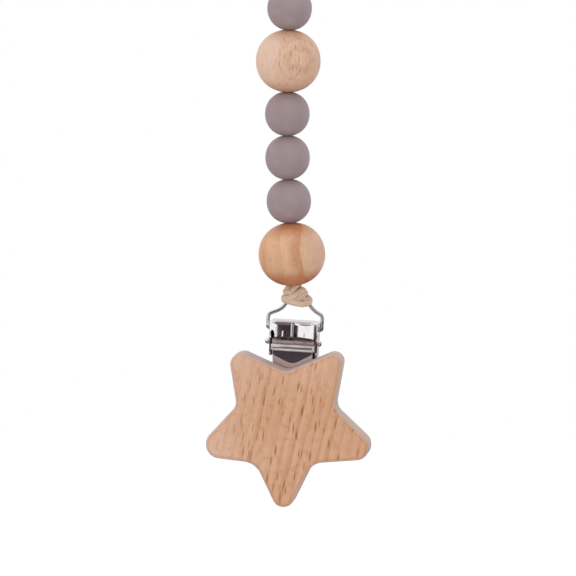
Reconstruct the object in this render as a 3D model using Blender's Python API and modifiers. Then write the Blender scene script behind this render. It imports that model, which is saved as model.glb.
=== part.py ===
"""Teether clip: a beaded strand on an end loop, and a sprung metal clip behind a wooden star.

Metres, +Z up, the face of the star looks along -Y, +X is to the right of someone who faces it.
The part hangs: the origin is the inside top of the end loop, where a hook would carry it.
Below it come the loop's knot, six beads on a cord, the clip's knot, its wire bail, the sprung
clip, and the star that is screwed to the clip's lever.

The clip's sizes are measured from its hinge pin: heights and drops from the pin's axis,
fronts and backs from the plane that holds the pin and the cord.
"""

import math

import bmesh
import bpy
from mathutils import Euler, Matrix, Vector

PART_NAME = "teether_clip"

# Cord, and the gaps between neighbours
CORD_DIAMETER = 0.0015
CORD_FIT = 0.0003
CORD_END_GAP = 0.0004
BEAD_GAP = 0.00035
SEAT_GAP = 0.00025
PIN_FIT = 0.00015
BAIL_FIT = 0.0003
OVERRUN = 0.002
WELD = 0.000001

# End loop and the knot that closes it
LOOP_LENGTH = 0.034
LOOP_WIDTH = 0.0115
LOOP_LEG_SPACING = 0.0024
LOOP_KNOT_WIDTH = 0.0062
LOOP_KNOT_HEIGHT = 0.0050
loop_turn_rise_share = 0.143

# Beads
SILICONE_DIAMETER = 0.0122
UPPER_BEECH_DIAMETER = 0.0177
LOWER_BEECH_DIAMETER = 0.0183
silicone_height_share = 0.968
beech_height_share = 0.942

# Knot on the bail
CLIP_KNOT_WIDTH = 0.0084
CLIP_KNOT_HEIGHT = 0.0033
CLIP_KNOT_DEPTH = 0.0044
CLIP_NECK_DIAMETER = 0.0050
CLIP_NECK_HEIGHT = 0.00345
CLIP_NECK_SHIFT = 0.0007
neck_turn_drop_share = 0.054

# Bail, bent from round wire
BAIL_WIRE = 0.0011
BAIL_HEIGHT = 0.0081
BAIL_BEND = 0.0006

# Stamped clip body: a box at the top, open below, with the back jaw running down from it
SHEET = 0.0006
BODY_WIDTH = 0.0133
BODY_FRONT = 0.0043
BODY_BACK = 0.0041
BODY_TOP = 0.0058
BODY_CORNER = 0.0009
EAR_DROP = 0.0039
EAR_FRONT = 0.0017
EAR_CORNER = 0.0012
EAR_STEP = 0.0004
APRON_EDGE = 0.0012
APRON_RISE = 0.0007
APRON_SLOT_WIDTH = 0.0007
APRON_SLOT_TOP = 0.0046
APRON_CREASE_WIDTH = 0.00046
APRON_CREASE_DEPTH = 0.0002
BUMP_DIAMETER = 0.0024
BUMP_HEIGHT = 0.0002
BUMP_SPACING = 0.0068
BAIL_HOLE_UP = 0.0037
JAW_DROP = 0.0220
JAW_INSET = 0.00075
JAW_TAPER = 0.0008
JAW_CORNER = 0.0022
JAW_PLATE = 0.0007
JAW_LIP = 0.0017
RIB_LENGTH = 0.0110
RIB_WIDTH = 0.0011
RIB_HEIGHT = 0.0003
RIB_SPACING = 0.0052
RIB_END_RISE = 0.0040

# Hinge pin, a domed head at its left end and a peened one at its right end
PIN_DIAMETER = 0.0013
PIN_HEAD_DIAMETER = 0.0018
PIN_HEAD_HEIGHT = 0.0012
PIN_END_HEIGHT = 0.0008

# Lever: a barrel with a cam round the pin, a grooved ledge and the plate behind the star
LEVER_SIDE_GAP = 0.00025
BARREL_RADIUS = 0.0019
CAM_RADIUS = 0.00235
LEDGE_FRONT = 0.0030
LEDGE_TOP_DROP = 0.0006
LEDGE_HEIGHT = 0.0014
LEDGE_INSET = 0.0001
GROOVE_HEIGHT = 0.00045
GROOVE_DEPTH = 0.0004
GROOVE_MARGIN = 0.0006
LEVER_PLATE_FRONT = 0.0027
LEVER_DROP = 0.0195
LEVER_TAPER = 0.0008
LEVER_CORNER = 0.0025

# Inner jaw: a bent spring-steel leaf that hangs from the top of the box
LEAF_SHEET = 0.0005
LEAF_INSET = 0.00205
LEAF_UPPER_BEND_DROP = 0.0026
LEAF_LOWER_BEND_DROP = 0.0065
LEAF_BEND_RADIUS = 0.0012
LEAF_SET_FORWARD = 0.00285
LEAF_END_RISE = 0.0012

# Toothed plastic pads on the two jaws
PAD_INSET = 0.0002
PAD_HEIGHT = 0.0080
PAD_END_RISE = 0.0016
PAD_GAP = 0.0003
TOOTH_HEIGHT = 0.0004
TOOTH_COUNT = 5

# Wooden star, one arm pointing down
STAR_UPPER_REACH = 0.0270
STAR_SIDE_REACH = 0.0292
STAR_BOTTOM_REACH = 0.0280
STAR_NOTCH_REACH = 0.0141
STAR_VALLEY_REACH = 0.0142
STAR_UPPER_TIP_RADIUS = 0.0034
STAR_SIDE_TIP_RADIUS = 0.0039
STAR_BOTTOM_TIP_RADIUS = 0.0033
STAR_NOTCH_RADIUS = 0.0012
STAR_SIDE_VALLEY_RADIUS = 0.0032
STAR_LOW_VALLEY_RADIUS = 0.0056
STAR_SIDE_SHIFT = 0.0014
STAR_THICKNESS = 0.0080
STAR_EDGE_RADIUS = 0.0019
STAR_CENTRE_DROP = 0.0209
STAR_SHIFT = 0.0003

# Screws through the lever's plate into the star
SCREW_DIAMETER = 0.0014
SCREW_HEAD_DIAMETER = 0.0026
SCREW_HEAD_HEIGHT = 0.0007
SCREW_LENGTH = 0.0055
SCREW_SLOT_WIDTH = 0.0004
SCREW_FIT = 0.0002
UPPER_SCREW_DROP = 0.0105
LOWER_SCREW_DROP = 0.0165

# The lever fits between the ears, and the jaws and pads follow the body's width
LEVER_WIDTH = BODY_WIDTH - 2 * (SHEET + LEVER_SIDE_GAP)
JAW_WIDTH = BODY_WIDTH - 2 * JAW_INSET
LEAF_WIDTH = BODY_WIDTH - 2 * LEAF_INSET
PAD_WIDTH = LEAF_WIDTH - 2 * PAD_INSET

# The leaf, the pads and the ribs end a little above the end of the back jaw
LEAF_DROP = JAW_DROP - LEAF_END_RISE
PAD_END_DROP = JAW_DROP - PAD_END_RISE
RIB_CENTRE_DROP = JAW_DROP - RIB_END_RISE - RIB_LENGTH / 2

# How each piece leans in the photograph, in degrees, its lower end towards +X: beads and clip
# from plumb, the star from the clip
BEAD_LEANS = (-1.5, -1.5, -0.3, 1.0, 2.3, 4.0)
CLIP_LEAN = -2.6
STAR_LEAN = 2.0

# Directions of the star's corners from its centre, in degrees from +X towards +Z
UPPER_ARM_ANGLE = 51.7
SIDE_VALLEY_ANGLE = 17.2
SIDE_ARM_ANGLE = -20.1
LOW_VALLEY_ANGLE = -55.3

# How the turns of cord in the knots lie, in degrees
LOOP_TURN_LEAN = 14
LOOP_TURN_PITCH = 8
BAR_TURN_FAN = 10
NECK_TURN_LEAN = 20

# How finely the round forms are divided
BEAD_STEPS = 28
BEAD_RINGS = 13
ROUND_SIDES = 16
ARC_STEPS = 6
ARCH_STEPS = 8
CAM_STEPS = 32

# Beads from the top of the strand: node, diameter, height as a share of it, finish
BEADS = (
    ("silicone_bead_1", SILICONE_DIAMETER, silicone_height_share, "silicone"),
    ("beech_bead_upper", UPPER_BEECH_DIAMETER, beech_height_share, "pale_beech"),
    ("silicone_bead_2", SILICONE_DIAMETER, silicone_height_share, "silicone"),
    ("silicone_bead_3", SILICONE_DIAMETER, silicone_height_share, "silicone"),
    ("silicone_bead_4", SILICONE_DIAMETER, silicone_height_share, "silicone"),
    ("beech_bead_lower", LOWER_BEECH_DIAMETER, beech_height_share, "warm_beech"),
)

# Finishes: linear colour, roughness, metallic
FINISHES = {
    "silicone": ((0.35, 0.28, 0.29), 0.60, 0.0),
    "pale_beech": ((0.71, 0.46, 0.32), 0.50, 0.0),
    "warm_beech": ((0.64, 0.35, 0.20), 0.45, 0.0),
    "star_beech": ((0.62, 0.36, 0.22), 0.55, 0.0),
    "cord": ((0.56, 0.42, 0.30), 0.85, 0.0),
    "chrome": ((0.80, 0.80, 0.82), 0.08, 1.0),
    "spring_steel": ((0.45, 0.45, 0.47), 0.30, 1.0),
    "pad_plastic": ((0.80, 0.80, 0.78), 0.40, 0.0),
    "screw_steel": ((0.55, 0.53, 0.50), 0.25, 1.0),
}

# End loop, right half above its straight legs: share of half the width, share of the length
loop_route_shares = (
    (0.34, 0.28), (0.58, 0.48), (0.84, 0.67), (1.0, 0.83), (0.90, 0.94), (0.50, 0.99), (0.0, 1.0),
)
# Bail, right arm above its end's bend, up to the middle: share of half the width, share of the height
bail_arm_shares = (
    (1.0, 0.20), (0.997, 0.37), (0.95, 0.48), (0.84, 0.55), (0.69, 0.62),
    (0.56, 0.71), (0.47, 0.81), (0.38, 0.91), (0.27, 0.97), (0.13, 0.995), (0.0, 1.0),
)
# Heads of pin and screws: share of the head's radius, share of its height
head_profile_shares = ((0.0, 1.0), (0.45, 0.93), (0.80, 0.68), (1.0, 0.30), (1.0, 0.0))


def clear_scene():
    """Removes every object, so that the script starts from nothing."""
    for old in list(bpy.data.objects):
        bpy.data.objects.remove(old, do_unlink=True)


def new_collection(name):
    """A collection under the scene."""
    made = bpy.data.collections.new(name)
    bpy.context.scene.collection.children.link(made)
    return made


clear_scene()
PARTS = new_collection(PART_NAME)
CUTTERS = new_collection("cutters")


def finish(name):
    """The Principled material of one finish, made once."""
    known = bpy.data.materials.get(name)
    if known:
        return known
    colour, roughness, metallic = FINISHES[name]
    made = bpy.data.materials.new(name)
    made.use_nodes = True
    shader = made.node_tree.nodes["Principled BSDF"]
    shader.inputs["Base Color"].default_value = (*colour, 1.0)
    shader.inputs["Roughness"].default_value = roughness
    shader.inputs["Metallic"].default_value = metallic
    made.diffuse_color = (*colour, 1.0)
    return made


def node(name, mesh, finish_name, parent, place=(0, 0, 0), turn=(0, 0, 0)):
    """A named piece of the part."""
    made = bpy.data.objects.new(name, mesh)
    PARTS.objects.link(made)
    mesh.materials.clear()
    mesh.materials.append(finish(finish_name))
    made.parent = parent
    made.location = place
    made.rotation_euler = turn
    return made


def helper(name, mesh, parent, place=(0, 0, 0), turn=(0, 0, 0)):
    """A solid that a Boolean cuts or joins with, kept out of the part."""
    made = bpy.data.objects.new(name, mesh)
    CUTTERS.objects.link(made)
    made.hide_render = True
    made.display_type = "WIRE"
    made.parent = parent
    made.location = place
    made.rotation_euler = turn
    return made


def joint(name, parent=None, place=(0, 0, 0), lean=0.0):
    """An empty on a joint's axis; lean is in degrees, its lower end towards +X."""
    made = bpy.data.objects.new(name, None)
    PARTS.objects.link(made)
    made.parent = parent
    made.location = place
    made.rotation_euler = (0, -math.radians(lean), 0)
    return made


def boolean(target, tool, operation):
    """Adds one exact Boolean step to target."""
    step = target.modifiers.new(tool.name, "BOOLEAN")
    step.object = tool
    step.operation = operation
    step.solver = "EXACT"


def cut(target, *tools):
    """Cuts target with each tool."""
    for tool in tools:
        boolean(target, tool, "DIFFERENCE")


def unite(target, *tools):
    """Joins each tool to target."""
    for tool in tools:
        boolean(target, tool, "UNION")


def soften(target, width, segments=3, angle=40):
    """Rounds the edges that are sharper than the angle, in degrees."""
    step = target.modifiers.new("rounded_edges", "BEVEL")
    step.width = width
    step.segments = segments
    step.use_clamp_overlap = False
    step.limit_method = "ANGLE"
    step.angle_limit = math.radians(angle)


def mesh_from(form, name):
    """Turns a bmesh into a mesh, shaded smooth up to its sharp edges."""
    mesh = bpy.data.meshes.new(name)
    form.to_mesh(mesh)
    form.free()
    mesh.shade_smooth()
    mesh.set_sharp_from_angle(angle=math.radians(40))
    return mesh


def block(name, low, high):
    """A box between two corners."""
    form = bmesh.new()
    bmesh.ops.create_cube(form, size=1.0)
    size = Vector(high) - Vector(low)
    middle = (Vector(high) + Vector(low)) / 2
    shape = Matrix.Translation(middle) @ Matrix.Diagonal((*size, 1.0))
    bmesh.ops.transform(form, matrix=shape, verts=form.verts)
    return mesh_from(form, name)


def rod(name, radius, start, end, axis):
    """A round bar along X, Y or Z, from start to end on that axis."""
    turns = {"X": Matrix.Rotation(math.pi / 2, 4, "Y"), "Y": Matrix.Rotation(-math.pi / 2, 4, "X")}
    turn = turns.get(axis, Matrix.Identity(4))
    form = bmesh.new()
    bmesh.ops.create_cone(form, cap_ends=True, segments=ROUND_SIDES, radius1=radius,
                          radius2=radius, depth=end - start)
    shift = Matrix.Translation((0, 0, (start + end) / 2))
    bmesh.ops.transform(form, matrix=turn @ shift, verts=form.verts)
    return mesh_from(form, name)


def ball(name, size, rings=8):
    """A round form of three full sizes."""
    form = bmesh.new()
    bmesh.ops.create_uvsphere(form, u_segments=ROUND_SIDES, v_segments=rings, radius=0.5)
    bmesh.ops.transform(form, matrix=Matrix.Diagonal((*size, 1.0)), verts=form.verts)
    return mesh_from(form, name)


def mesh_of_curve(curve, turn=Matrix.Identity(4)):
    """The closed mesh of a curve, its caps welded and its flats made whole, turned as asked."""
    guide = bpy.data.objects.new(curve.name, curve)
    CUTTERS.objects.link(guide)
    bpy.context.view_layer.update()
    seen = guide.evaluated_get(bpy.context.evaluated_depsgraph_get())
    mesh = bpy.data.meshes.new_from_object(seen)
    bpy.data.objects.remove(guide, do_unlink=True)
    form = bmesh.new()
    form.from_mesh(mesh)
    bmesh.ops.remove_doubles(form, verts=form.verts, dist=WELD)
    bmesh.ops.dissolve_limit(form, angle_limit=math.radians(0.1), verts=form.verts, edges=form.edges)
    bmesh.ops.transform(form, matrix=turn, verts=form.verts)
    bmesh.ops.recalc_face_normals(form, faces=form.faces)
    return mesh_from(form, curve.name)


def tube(name, points, diameter, resolution=2, ring=False):
    """A round tube along points."""
    curve = bpy.data.curves.new(name, "CURVE")
    curve.dimensions = "3D"
    curve.bevel_depth = diameter / 2
    curve.bevel_resolution = resolution
    curve.use_fill_caps = not ring
    line = curve.splines.new("POLY")
    line.points.add(len(points) - 1)
    for point, where in zip(line.points, points):
        point.co = (*where, 1.0)
    line.use_cyclic_u = ring
    return mesh_of_curve(curve)


# Where an outline's first and second coordinates point: X and Z, or Y and Z
XZ_PLANE = Matrix.Rotation(math.pi / 2, 4, "X")
YZ_PLANE = Euler((math.pi / 2, 0, math.pi / 2)).to_matrix().to_4x4()


def slab(name, outline, thickness, plane):
    """A flat outline, extruded evenly to both sides of its plane."""
    curve = bpy.data.curves.new(name, "CURVE")
    curve.dimensions = "2D"
    curve.fill_mode = "BOTH"
    curve.extrude = thickness / 2
    line = curve.splines.new("POLY")
    line.points.add(len(outline) - 1)
    for point, where in zip(line.points, outline):
        point.co = (*where, 0, 1)
    line.use_cyclic_u = True
    return mesh_of_curve(curve, plane)


def smooth_route(points, steps):
    """Points on a smooth curve through the route's own points, so many steps to each stretch."""
    route = []
    ends = [2 * points[0] - points[1], *points, 2 * points[-1] - points[-2]]
    for before, start, end, after in zip(ends, ends[1:], ends[2:], ends[3:]):
        for step in range(steps):
            share = step / steps
            bend = 2 * start + (end - before) * share
            bend += (2 * before - 5 * start + 4 * end - after) * share ** 2
            bend += (3 * start - before - 3 * end + after) * share ** 3
            route.append(bend / 2)
    return [*route, points[-1]]


def mirrored(half):
    """A route and its mirror image in X, joined at its last point, which is on the middle."""
    return [*half, *[Vector((-p.x, p.y, p.z)) for p in reversed(half[:-1])]]


def turned_flat(vector, angle):
    """A flat vector turned by an angle."""
    return Matrix.Rotation(angle, 2) @ vector


def corner_arc(before, corner, after, radius, steps=ARC_STEPS):
    """The arc that rounds a corner between its neighbours."""
    back = (before - corner).normalized()
    ahead = (after - corner).normalized()
    half_angle = back.angle(ahead) / 2
    centre = corner + (back + ahead).normalized() * radius / math.sin(half_angle)
    start = corner + back * radius / math.tan(half_angle) - centre
    end = corner + ahead * radius / math.tan(half_angle) - centre
    swing = -start.angle_signed(end)
    return [centre + turned_flat(start, swing * step / steps) for step in range(steps + 1)]


def rounded_outline(corners, radii, steps=ARC_STEPS):
    """A closed outline whose corners are arcs of the given radii."""
    outline = []
    for index, corner in enumerate(corners):
        after = corners[(index + 1) % len(corners)]
        outline += corner_arc(corners[index - 1], corner, after, radii[index], steps)
    return outline


def turned(name, profile):
    """A profile, as (radius, height) from the top down its outer side, turned about Z."""
    form = bmesh.new()
    line = [form.verts.new((radius, 0, height)) for radius, height in profile]
    for first, second in zip(line, line[1:]):
        form.edges.new((first, second))
    if profile[0][0] > 0:
        form.edges.new((line[-1], line[0]))
    return mesh_from(form, name)


def turn_profile(target, steps):
    """Turns a profile about the object's Z axis."""
    step = target.modifiers.new("turned", "SCREW")
    step.steps = steps
    step.render_steps = steps
    step.use_merge_vertices = True
    step.merge_threshold = WELD


def make_end_loop(root):
    """The cord loop that the strand hangs by, open towards its knot."""
    half_width = (LOOP_WIDTH - CORD_DIAMETER) / 2
    leg = LOOP_LEG_SPACING / 2
    rise = LOOP_LENGTH + CORD_DIAMETER / 2
    legs = [Vector((leg, 0, -LOOP_LENGTH)), Vector((leg, 0, 2 * CORD_DIAMETER - LOOP_LENGTH))]
    bow = [Vector((across * half_width, 0, up * rise - LOOP_LENGTH)) for across, up in loop_route_shares]
    route = smooth_route(mirrored([*legs, *bow]), 3)
    node("end_loop", tube("end_loop", route, CORD_DIAMETER), "cord", root)


def wrap(name, radius, parent, place, turn):
    """One closed turn of cord, as a helper."""
    angles = [2 * math.pi * step / ROUND_SIDES for step in range(ROUND_SIDES)]
    points = [(radius * math.cos(angle), radius * math.sin(angle), 0) for angle in angles]
    return helper(name, tube(name, points, CORD_DIAMETER, 1, True), parent, place, turn)


def make_loop_knot(root):
    """The knot under the end loop: a core, two crossed turns and a stub under each leg.

    Returns its lowest height.
    """
    top = -LOOP_LENGTH - CORD_END_GAP
    middle = top - CORD_DIAMETER / 2 - LOOP_KNOT_HEIGHT / 2
    core_width = LOOP_KNOT_WIDTH - CORD_DIAMETER
    core = ball("loop_knot", (core_width, core_width, LOOP_KNOT_HEIGHT))
    knot = node("loop_knot", core, "cord", root, (0, 0, middle))
    for side in (1, -1):
        place = (0, 0, middle + side * LOOP_KNOT_HEIGHT * loop_turn_rise_share)
        turn = (math.radians(LOOP_TURN_PITCH), math.radians(side * LOOP_TURN_LEAN), 0)
        unite(knot, wrap("loop_knot_turn", core_width / 2, root, place, turn))
        stub = rod("loop_knot_stub", CORD_DIAMETER / 2, -LOOP_KNOT_HEIGHT / 2, 0, "Z")
        unite(knot, helper("loop_knot_stub", stub, root, (side * LOOP_LEG_SPACING / 2, 0, top)))
    return middle - LOOP_KNOT_HEIGHT / 2


def bead_half_height(diameter, height_share):
    """From a bead's middle to the rim of its bore."""
    bore = CORD_DIAMETER / 2 + CORD_FIT
    return diameter / 2 * height_share * math.sqrt(1 - (2 * bore / diameter) ** 2)


def bead_profile(diameter, height_share):
    """The bead's outer side, from the upper rim of its bore to the lower one."""
    bore = CORD_DIAMETER / 2 + CORD_FIT
    rim = math.asin(2 * bore / diameter)
    angles = [rim + (math.pi - 2 * rim) * step / BEAD_RINGS for step in range(BEAD_RINGS + 1)]
    return [(diameter / 2 * math.sin(a), diameter / 2 * height_share * math.cos(a)) for a in angles]


def make_strand(top):
    """The beads, each on its own run of cord below a joint. Returns the place of the lowest joint."""
    place = Vector((0, 0, top - BEAD_GAP / 2))
    for index, (name, diameter, height_share, finish_name) in enumerate(BEADS):
        lean = BEAD_LEANS[index]
        above = joint(f"strand_joint_{index + 1}", None, place, lean)
        length = 2 * bead_half_height(diameter, height_share) + BEAD_GAP
        mesh = turned(name, bead_profile(diameter, height_share))
        turn_profile(node(name, mesh, finish_name, above, (0, 0, -length / 2)), BEAD_STEPS)
        run = rod("cord_run", CORD_DIAMETER / 2, CORD_END_GAP / 2 - length, -CORD_END_GAP / 2, "Z")
        node(f"cord_run_{index + 1}", run, "cord", above)
        angle = math.radians(lean)
        place = place + length * Vector((math.sin(angle), 0, -math.cos(angle)))
    return place


def bail_route():
    """The bail's centre line, from the end in the right ear to the end in the left one."""
    half_width = BODY_WIDTH / 2 + SEAT_GAP + BAIL_WIRE / 2
    end = Vector((BODY_WIDTH / 2 - SHEET - BAIL_WIRE / 2, BAIL_HOLE_UP))
    corner = Vector((half_width, BAIL_HOLE_UP))
    bend = corner_arc(end, corner, Vector((half_width, BODY_TOP)), BAIL_BEND, 4)
    arm = [Vector((across * half_width, BAIL_HOLE_UP + up * BAIL_HEIGHT)) for across, up in bail_arm_shares]
    flat = [end, *bend[:-1], *smooth_route([bend[-1], *arm], 2)]
    return mirrored([Vector((across, 0, up)) for across, up in flat])


def make_clip_knot(clip_frame, neck_top):
    """The knot on the bail's bar: a core, three turns round the bar and a neck of two crossed turns."""
    bar = BAIL_HOLE_UP + BAIL_HEIGHT
    size = (CLIP_KNOT_WIDTH, CLIP_KNOT_DEPTH, CLIP_KNOT_HEIGHT)
    knot = node("clip_knot", ball("clip_knot", size), "cord", clip_frame, (0, 0, bar))
    for step in (-1, 0, 1):
        place = (step * CORD_DIAMETER, 0, bar)
        turn = (0, math.pi / 2 + math.radians(step * BAR_TURN_FAN), 0)
        unite(knot, wrap("clip_knot_turn", (CLIP_KNOT_DEPTH - CORD_DIAMETER) / 2, clip_frame, place, turn))
    neck_middle = (neck_top + bar) / 2
    core_width = CLIP_NECK_DIAMETER - CORD_DIAMETER / 2
    core = ball("clip_neck", (core_width, core_width, neck_top - bar))
    unite(knot, helper("clip_neck", core, clip_frame, (-CLIP_NECK_SHIFT, 0, neck_middle)))
    turn_radius = CLIP_NECK_DIAMETER / 2 - CORD_DIAMETER / 3
    for side in (1, -1):
        place = (-CLIP_NECK_SHIFT, 0, neck_middle - CLIP_NECK_HEIGHT * neck_turn_drop_share)
        turn = (0, math.radians(side * NECK_TURN_LEAN), 0)
        unite(knot, wrap("clip_neck_turn", turn_radius, clip_frame, place, turn))
    channel = tube("clip_knot_channel", bail_route(), BAIL_WIRE + 2 * SEAT_GAP)
    cut(knot, helper("clip_knot_channel", channel, clip_frame))


def apron_window(half_width):
    """What is cut away below the apron, its top edge arched."""
    outline = [(-half_width, -EAR_DROP - OVERRUN), (half_width, -EAR_DROP - OVERRUN)]
    for step in range(ARCH_STEPS + 1):
        across = 1 - 2 * step / ARCH_STEPS
        outline.append((across * half_width, APRON_EDGE + APRON_RISE * (1 - across ** 2)))
    return outline


def ear_relief():
    """What is cut away in front of the ears and at their lower corners, seen from the side."""
    front = -BODY_FRONT - OVERRUN
    low = -EAR_DROP - OVERRUN
    top = APRON_EDGE - EAR_STEP
    relief = [Vector((front, low)), Vector((front, top))]
    upper = Vector((-EAR_FRONT, top))
    lower = Vector((-EAR_FRONT, -EAR_DROP))
    relief += corner_arc(relief[1], upper, lower, EAR_CORNER)
    relief += corner_arc(relief[-1], lower, Vector((BODY_BACK, -EAR_DROP)), EAR_CORNER)
    relief.append(Vector((EAR_CORNER - EAR_FRONT, low)))
    return relief


def make_clip_body(swing_axis, pin_place):
    """The stamped body: a box with ears, an apron in front and the back jaw below."""
    half = BODY_WIDTH / 2
    inner = half - SHEET
    wall = BODY_BACK - SHEET / 2
    shell = block("clip_body", (-half, -BODY_FRONT, -EAR_DROP), (half, BODY_BACK, BODY_TOP))
    body = node("clip_body", shell, "chrome", swing_axis, pin_place)
    soften(body, BODY_CORNER)
    hollow_low = (-inner, SHEET - BODY_FRONT, -EAR_DROP - OVERRUN)
    hollow_high = (inner, BODY_BACK - SHEET, BODY_TOP - SHEET)
    hollow = helper("box_hollow", block("box_hollow", hollow_low, hollow_high), swing_axis, pin_place)
    soften(hollow, BODY_CORNER - SHEET / 2, 2)
    cut(body, hollow)
    window = slab("apron_window", apron_window(half + OVERRUN), 4 * SHEET, XZ_PLANE)
    cut(body, helper("apron_window", window, swing_axis, pin_place - Vector((0, BODY_FRONT, 0))))
    relief = slab("ear_relief", ear_relief(), BODY_WIDTH + OVERRUN, YZ_PLANE)
    cut(body, helper("ear_relief", relief, swing_axis, pin_place))
    slot_low = (-APRON_SLOT_WIDTH / 2, -BODY_FRONT - OVERRUN, 0)
    slot_high = (APRON_SLOT_WIDTH / 2, SHEET + OVERRUN / 2 - BODY_FRONT, APRON_SLOT_TOP)
    cut(body, helper("apron_slot", block("apron_slot", slot_low, slot_high), swing_axis, pin_place))
    crease_low = (-APRON_CREASE_WIDTH / 2, -BODY_FRONT - OVERRUN, APRON_SLOT_TOP - OVERRUN / 2)
    crease_high = (APRON_CREASE_WIDTH / 2, APRON_CREASE_DEPTH - BODY_FRONT, BODY_TOP - BODY_CORNER / 2)
    cut(body, helper("apron_crease", block("apron_crease", crease_low, crease_high), swing_axis, pin_place))
    top = BODY_TOP - 2 * BODY_CORNER
    end = JAW_WIDTH / 2 - JAW_TAPER
    side = JAW_WIDTH / 2
    corners = [Vector(c) for c in ((-side, top), (side, top), (end, -JAW_DROP), (-end, -JAW_DROP))]
    plate_outline = rounded_outline(corners, (SHEET, SHEET, JAW_CORNER, JAW_CORNER))
    plate = slab("back_jaw", plate_outline, JAW_PLATE, XZ_PLANE)
    unite(body, helper("back_jaw", plate, swing_axis, pin_place + Vector((0, wall, 0))))
    lip_half = end - JAW_CORNER - JAW_PLATE / 4
    lip_low = (-lip_half, wall - JAW_LIP - JAW_PLATE / 2, JAW_PLATE / 4 - JAW_DROP)
    lip_high = (lip_half, wall, JAW_PLATE + JAW_PLATE / 4 - JAW_DROP)
    unite(body, helper("jaw_lip", block("jaw_lip", lip_low, lip_high), swing_axis, pin_place))
    for side in (-1, 1):
        bump = ball("apron_bump", (BUMP_DIAMETER, SHEET, BUMP_DIAMETER))
        bump_front = SHEET / 2 - BUMP_HEIGHT - BODY_FRONT
        place = Vector((side * BUMP_SPACING / 2, bump_front, (APRON_EDGE + BODY_TOP) / 2))
        unite(body, helper("apron_bump", bump, swing_axis, pin_place + place))
        rib = ball("back_rib", (RIB_WIDTH, JAW_PLATE, RIB_LENGTH))
        place = Vector((side * RIB_SPACING / 2, wall + RIB_HEIGHT, -RIB_CENTRE_DROP))
        unite(body, helper("back_rib", rib, swing_axis, pin_place + place))
    pin_hole = rod("pin_hole", PIN_DIAMETER / 2 + PIN_FIT, -half - OVERRUN, half + OVERRUN, "X")
    bail_hole = rod("bail_hole", BAIL_WIRE / 2 + BAIL_FIT, -half - OVERRUN, half + OVERRUN, "X")
    cut(body, helper("pin_hole", pin_hole, swing_axis, pin_place))
    cut(body, helper("bail_hole", bail_hole, swing_axis))


def make_hinge_pin(swing_axis, pin_place):
    """The pin through both ears, a domed head outside each."""
    shoulder = BODY_WIDTH / 2 + SEAT_GAP
    ends = []
    for height in (PIN_END_HEIGHT, PIN_HEAD_HEIGHT):
        ends.append([(r * PIN_HEAD_DIAMETER / 2, shoulder + h * height) for r, h in head_profile_shares])
        ends[-1].append((PIN_DIAMETER / 2, shoulder))
    right, left = ends
    mesh = turned("hinge_pin", [*right, *[(radius, -height) for radius, height in reversed(left)]])
    pin = node("hinge_pin", mesh, "chrome", swing_axis, pin_place, (0, math.pi / 2, 0))
    turn_profile(pin, ROUND_SIDES)


def cam_outline():
    """The barrel seen from the side, swelling to its cam towards the inner jaw."""
    outline = []
    for step in range(CAM_STEPS):
        angle = 2 * math.pi * step / CAM_STEPS
        radius = BARREL_RADIUS + (CAM_RADIUS - BARREL_RADIUS) * max(0.0, math.cos(angle)) ** 6
        outline.append((radius * math.cos(angle), radius * math.sin(angle)))
    return outline


def make_lever(pin_axis):
    """The lever: barrel and cam round the pin, grooved ledge, and the plate that the star sits on."""
    half = LEVER_WIDTH / 2
    barrel = slab("lever_plate", cam_outline(), LEVER_WIDTH, YZ_PLANE)
    lever = node("lever_plate", barrel, "chrome", pin_axis)
    ledge_low = -LEDGE_TOP_DROP - LEDGE_HEIGHT
    ledge = block("lever_ledge", (LEDGE_INSET - half, -LEDGE_FRONT, ledge_low),
                  (half - LEDGE_INSET, -BARREL_RADIUS / 2, -LEDGE_TOP_DROP))
    unite(lever, helper("lever_ledge", ledge, pin_axis))
    top = -LEDGE_TOP_DROP - LEDGE_HEIGHT / 2
    side = half - 2 * LEDGE_INSET
    end = side - LEVER_TAPER
    corners = [Vector(c) for c in ((-side, top), (side, top), (end, -LEVER_DROP), (-end, -LEVER_DROP))]
    radii = (LEDGE_HEIGHT / 4, LEDGE_HEIGHT / 4, LEVER_CORNER, LEVER_CORNER)
    plate = slab("lever_face", rounded_outline(corners, radii), SHEET, XZ_PLANE)
    unite(lever, helper("lever_face", plate, pin_axis, (0, SHEET / 2 - LEVER_PLATE_FRONT, 0)))
    groove_low = (GROOVE_MARGIN - half, -LEDGE_FRONT - OVERRUN, top - GROOVE_HEIGHT / 2)
    groove_high = (half - GROOVE_MARGIN, GROOVE_DEPTH - LEDGE_FRONT, top + GROOVE_HEIGHT / 2)
    cut(lever, helper("ledge_groove", block("ledge_groove", groove_low, groove_high), pin_axis))
    bore = rod("lever_bore", PIN_DIAMETER / 2 + PIN_FIT, -half - OVERRUN, half + OVERRUN, "X")
    cut(lever, helper("lever_bore", bore, pin_axis))
    for drop in (UPPER_SCREW_DROP, LOWER_SCREW_DROP):
        hole = rod("lever_screw_hole", SCREW_DIAMETER / 2 + SCREW_FIT, -LEVER_PLATE_FRONT - OVERRUN,
                   SHEET - LEVER_PLATE_FRONT + OVERRUN / 2, "Y")
        cut(lever, helper("lever_screw_hole", hole, pin_axis, (0, 0, -drop)))


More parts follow.
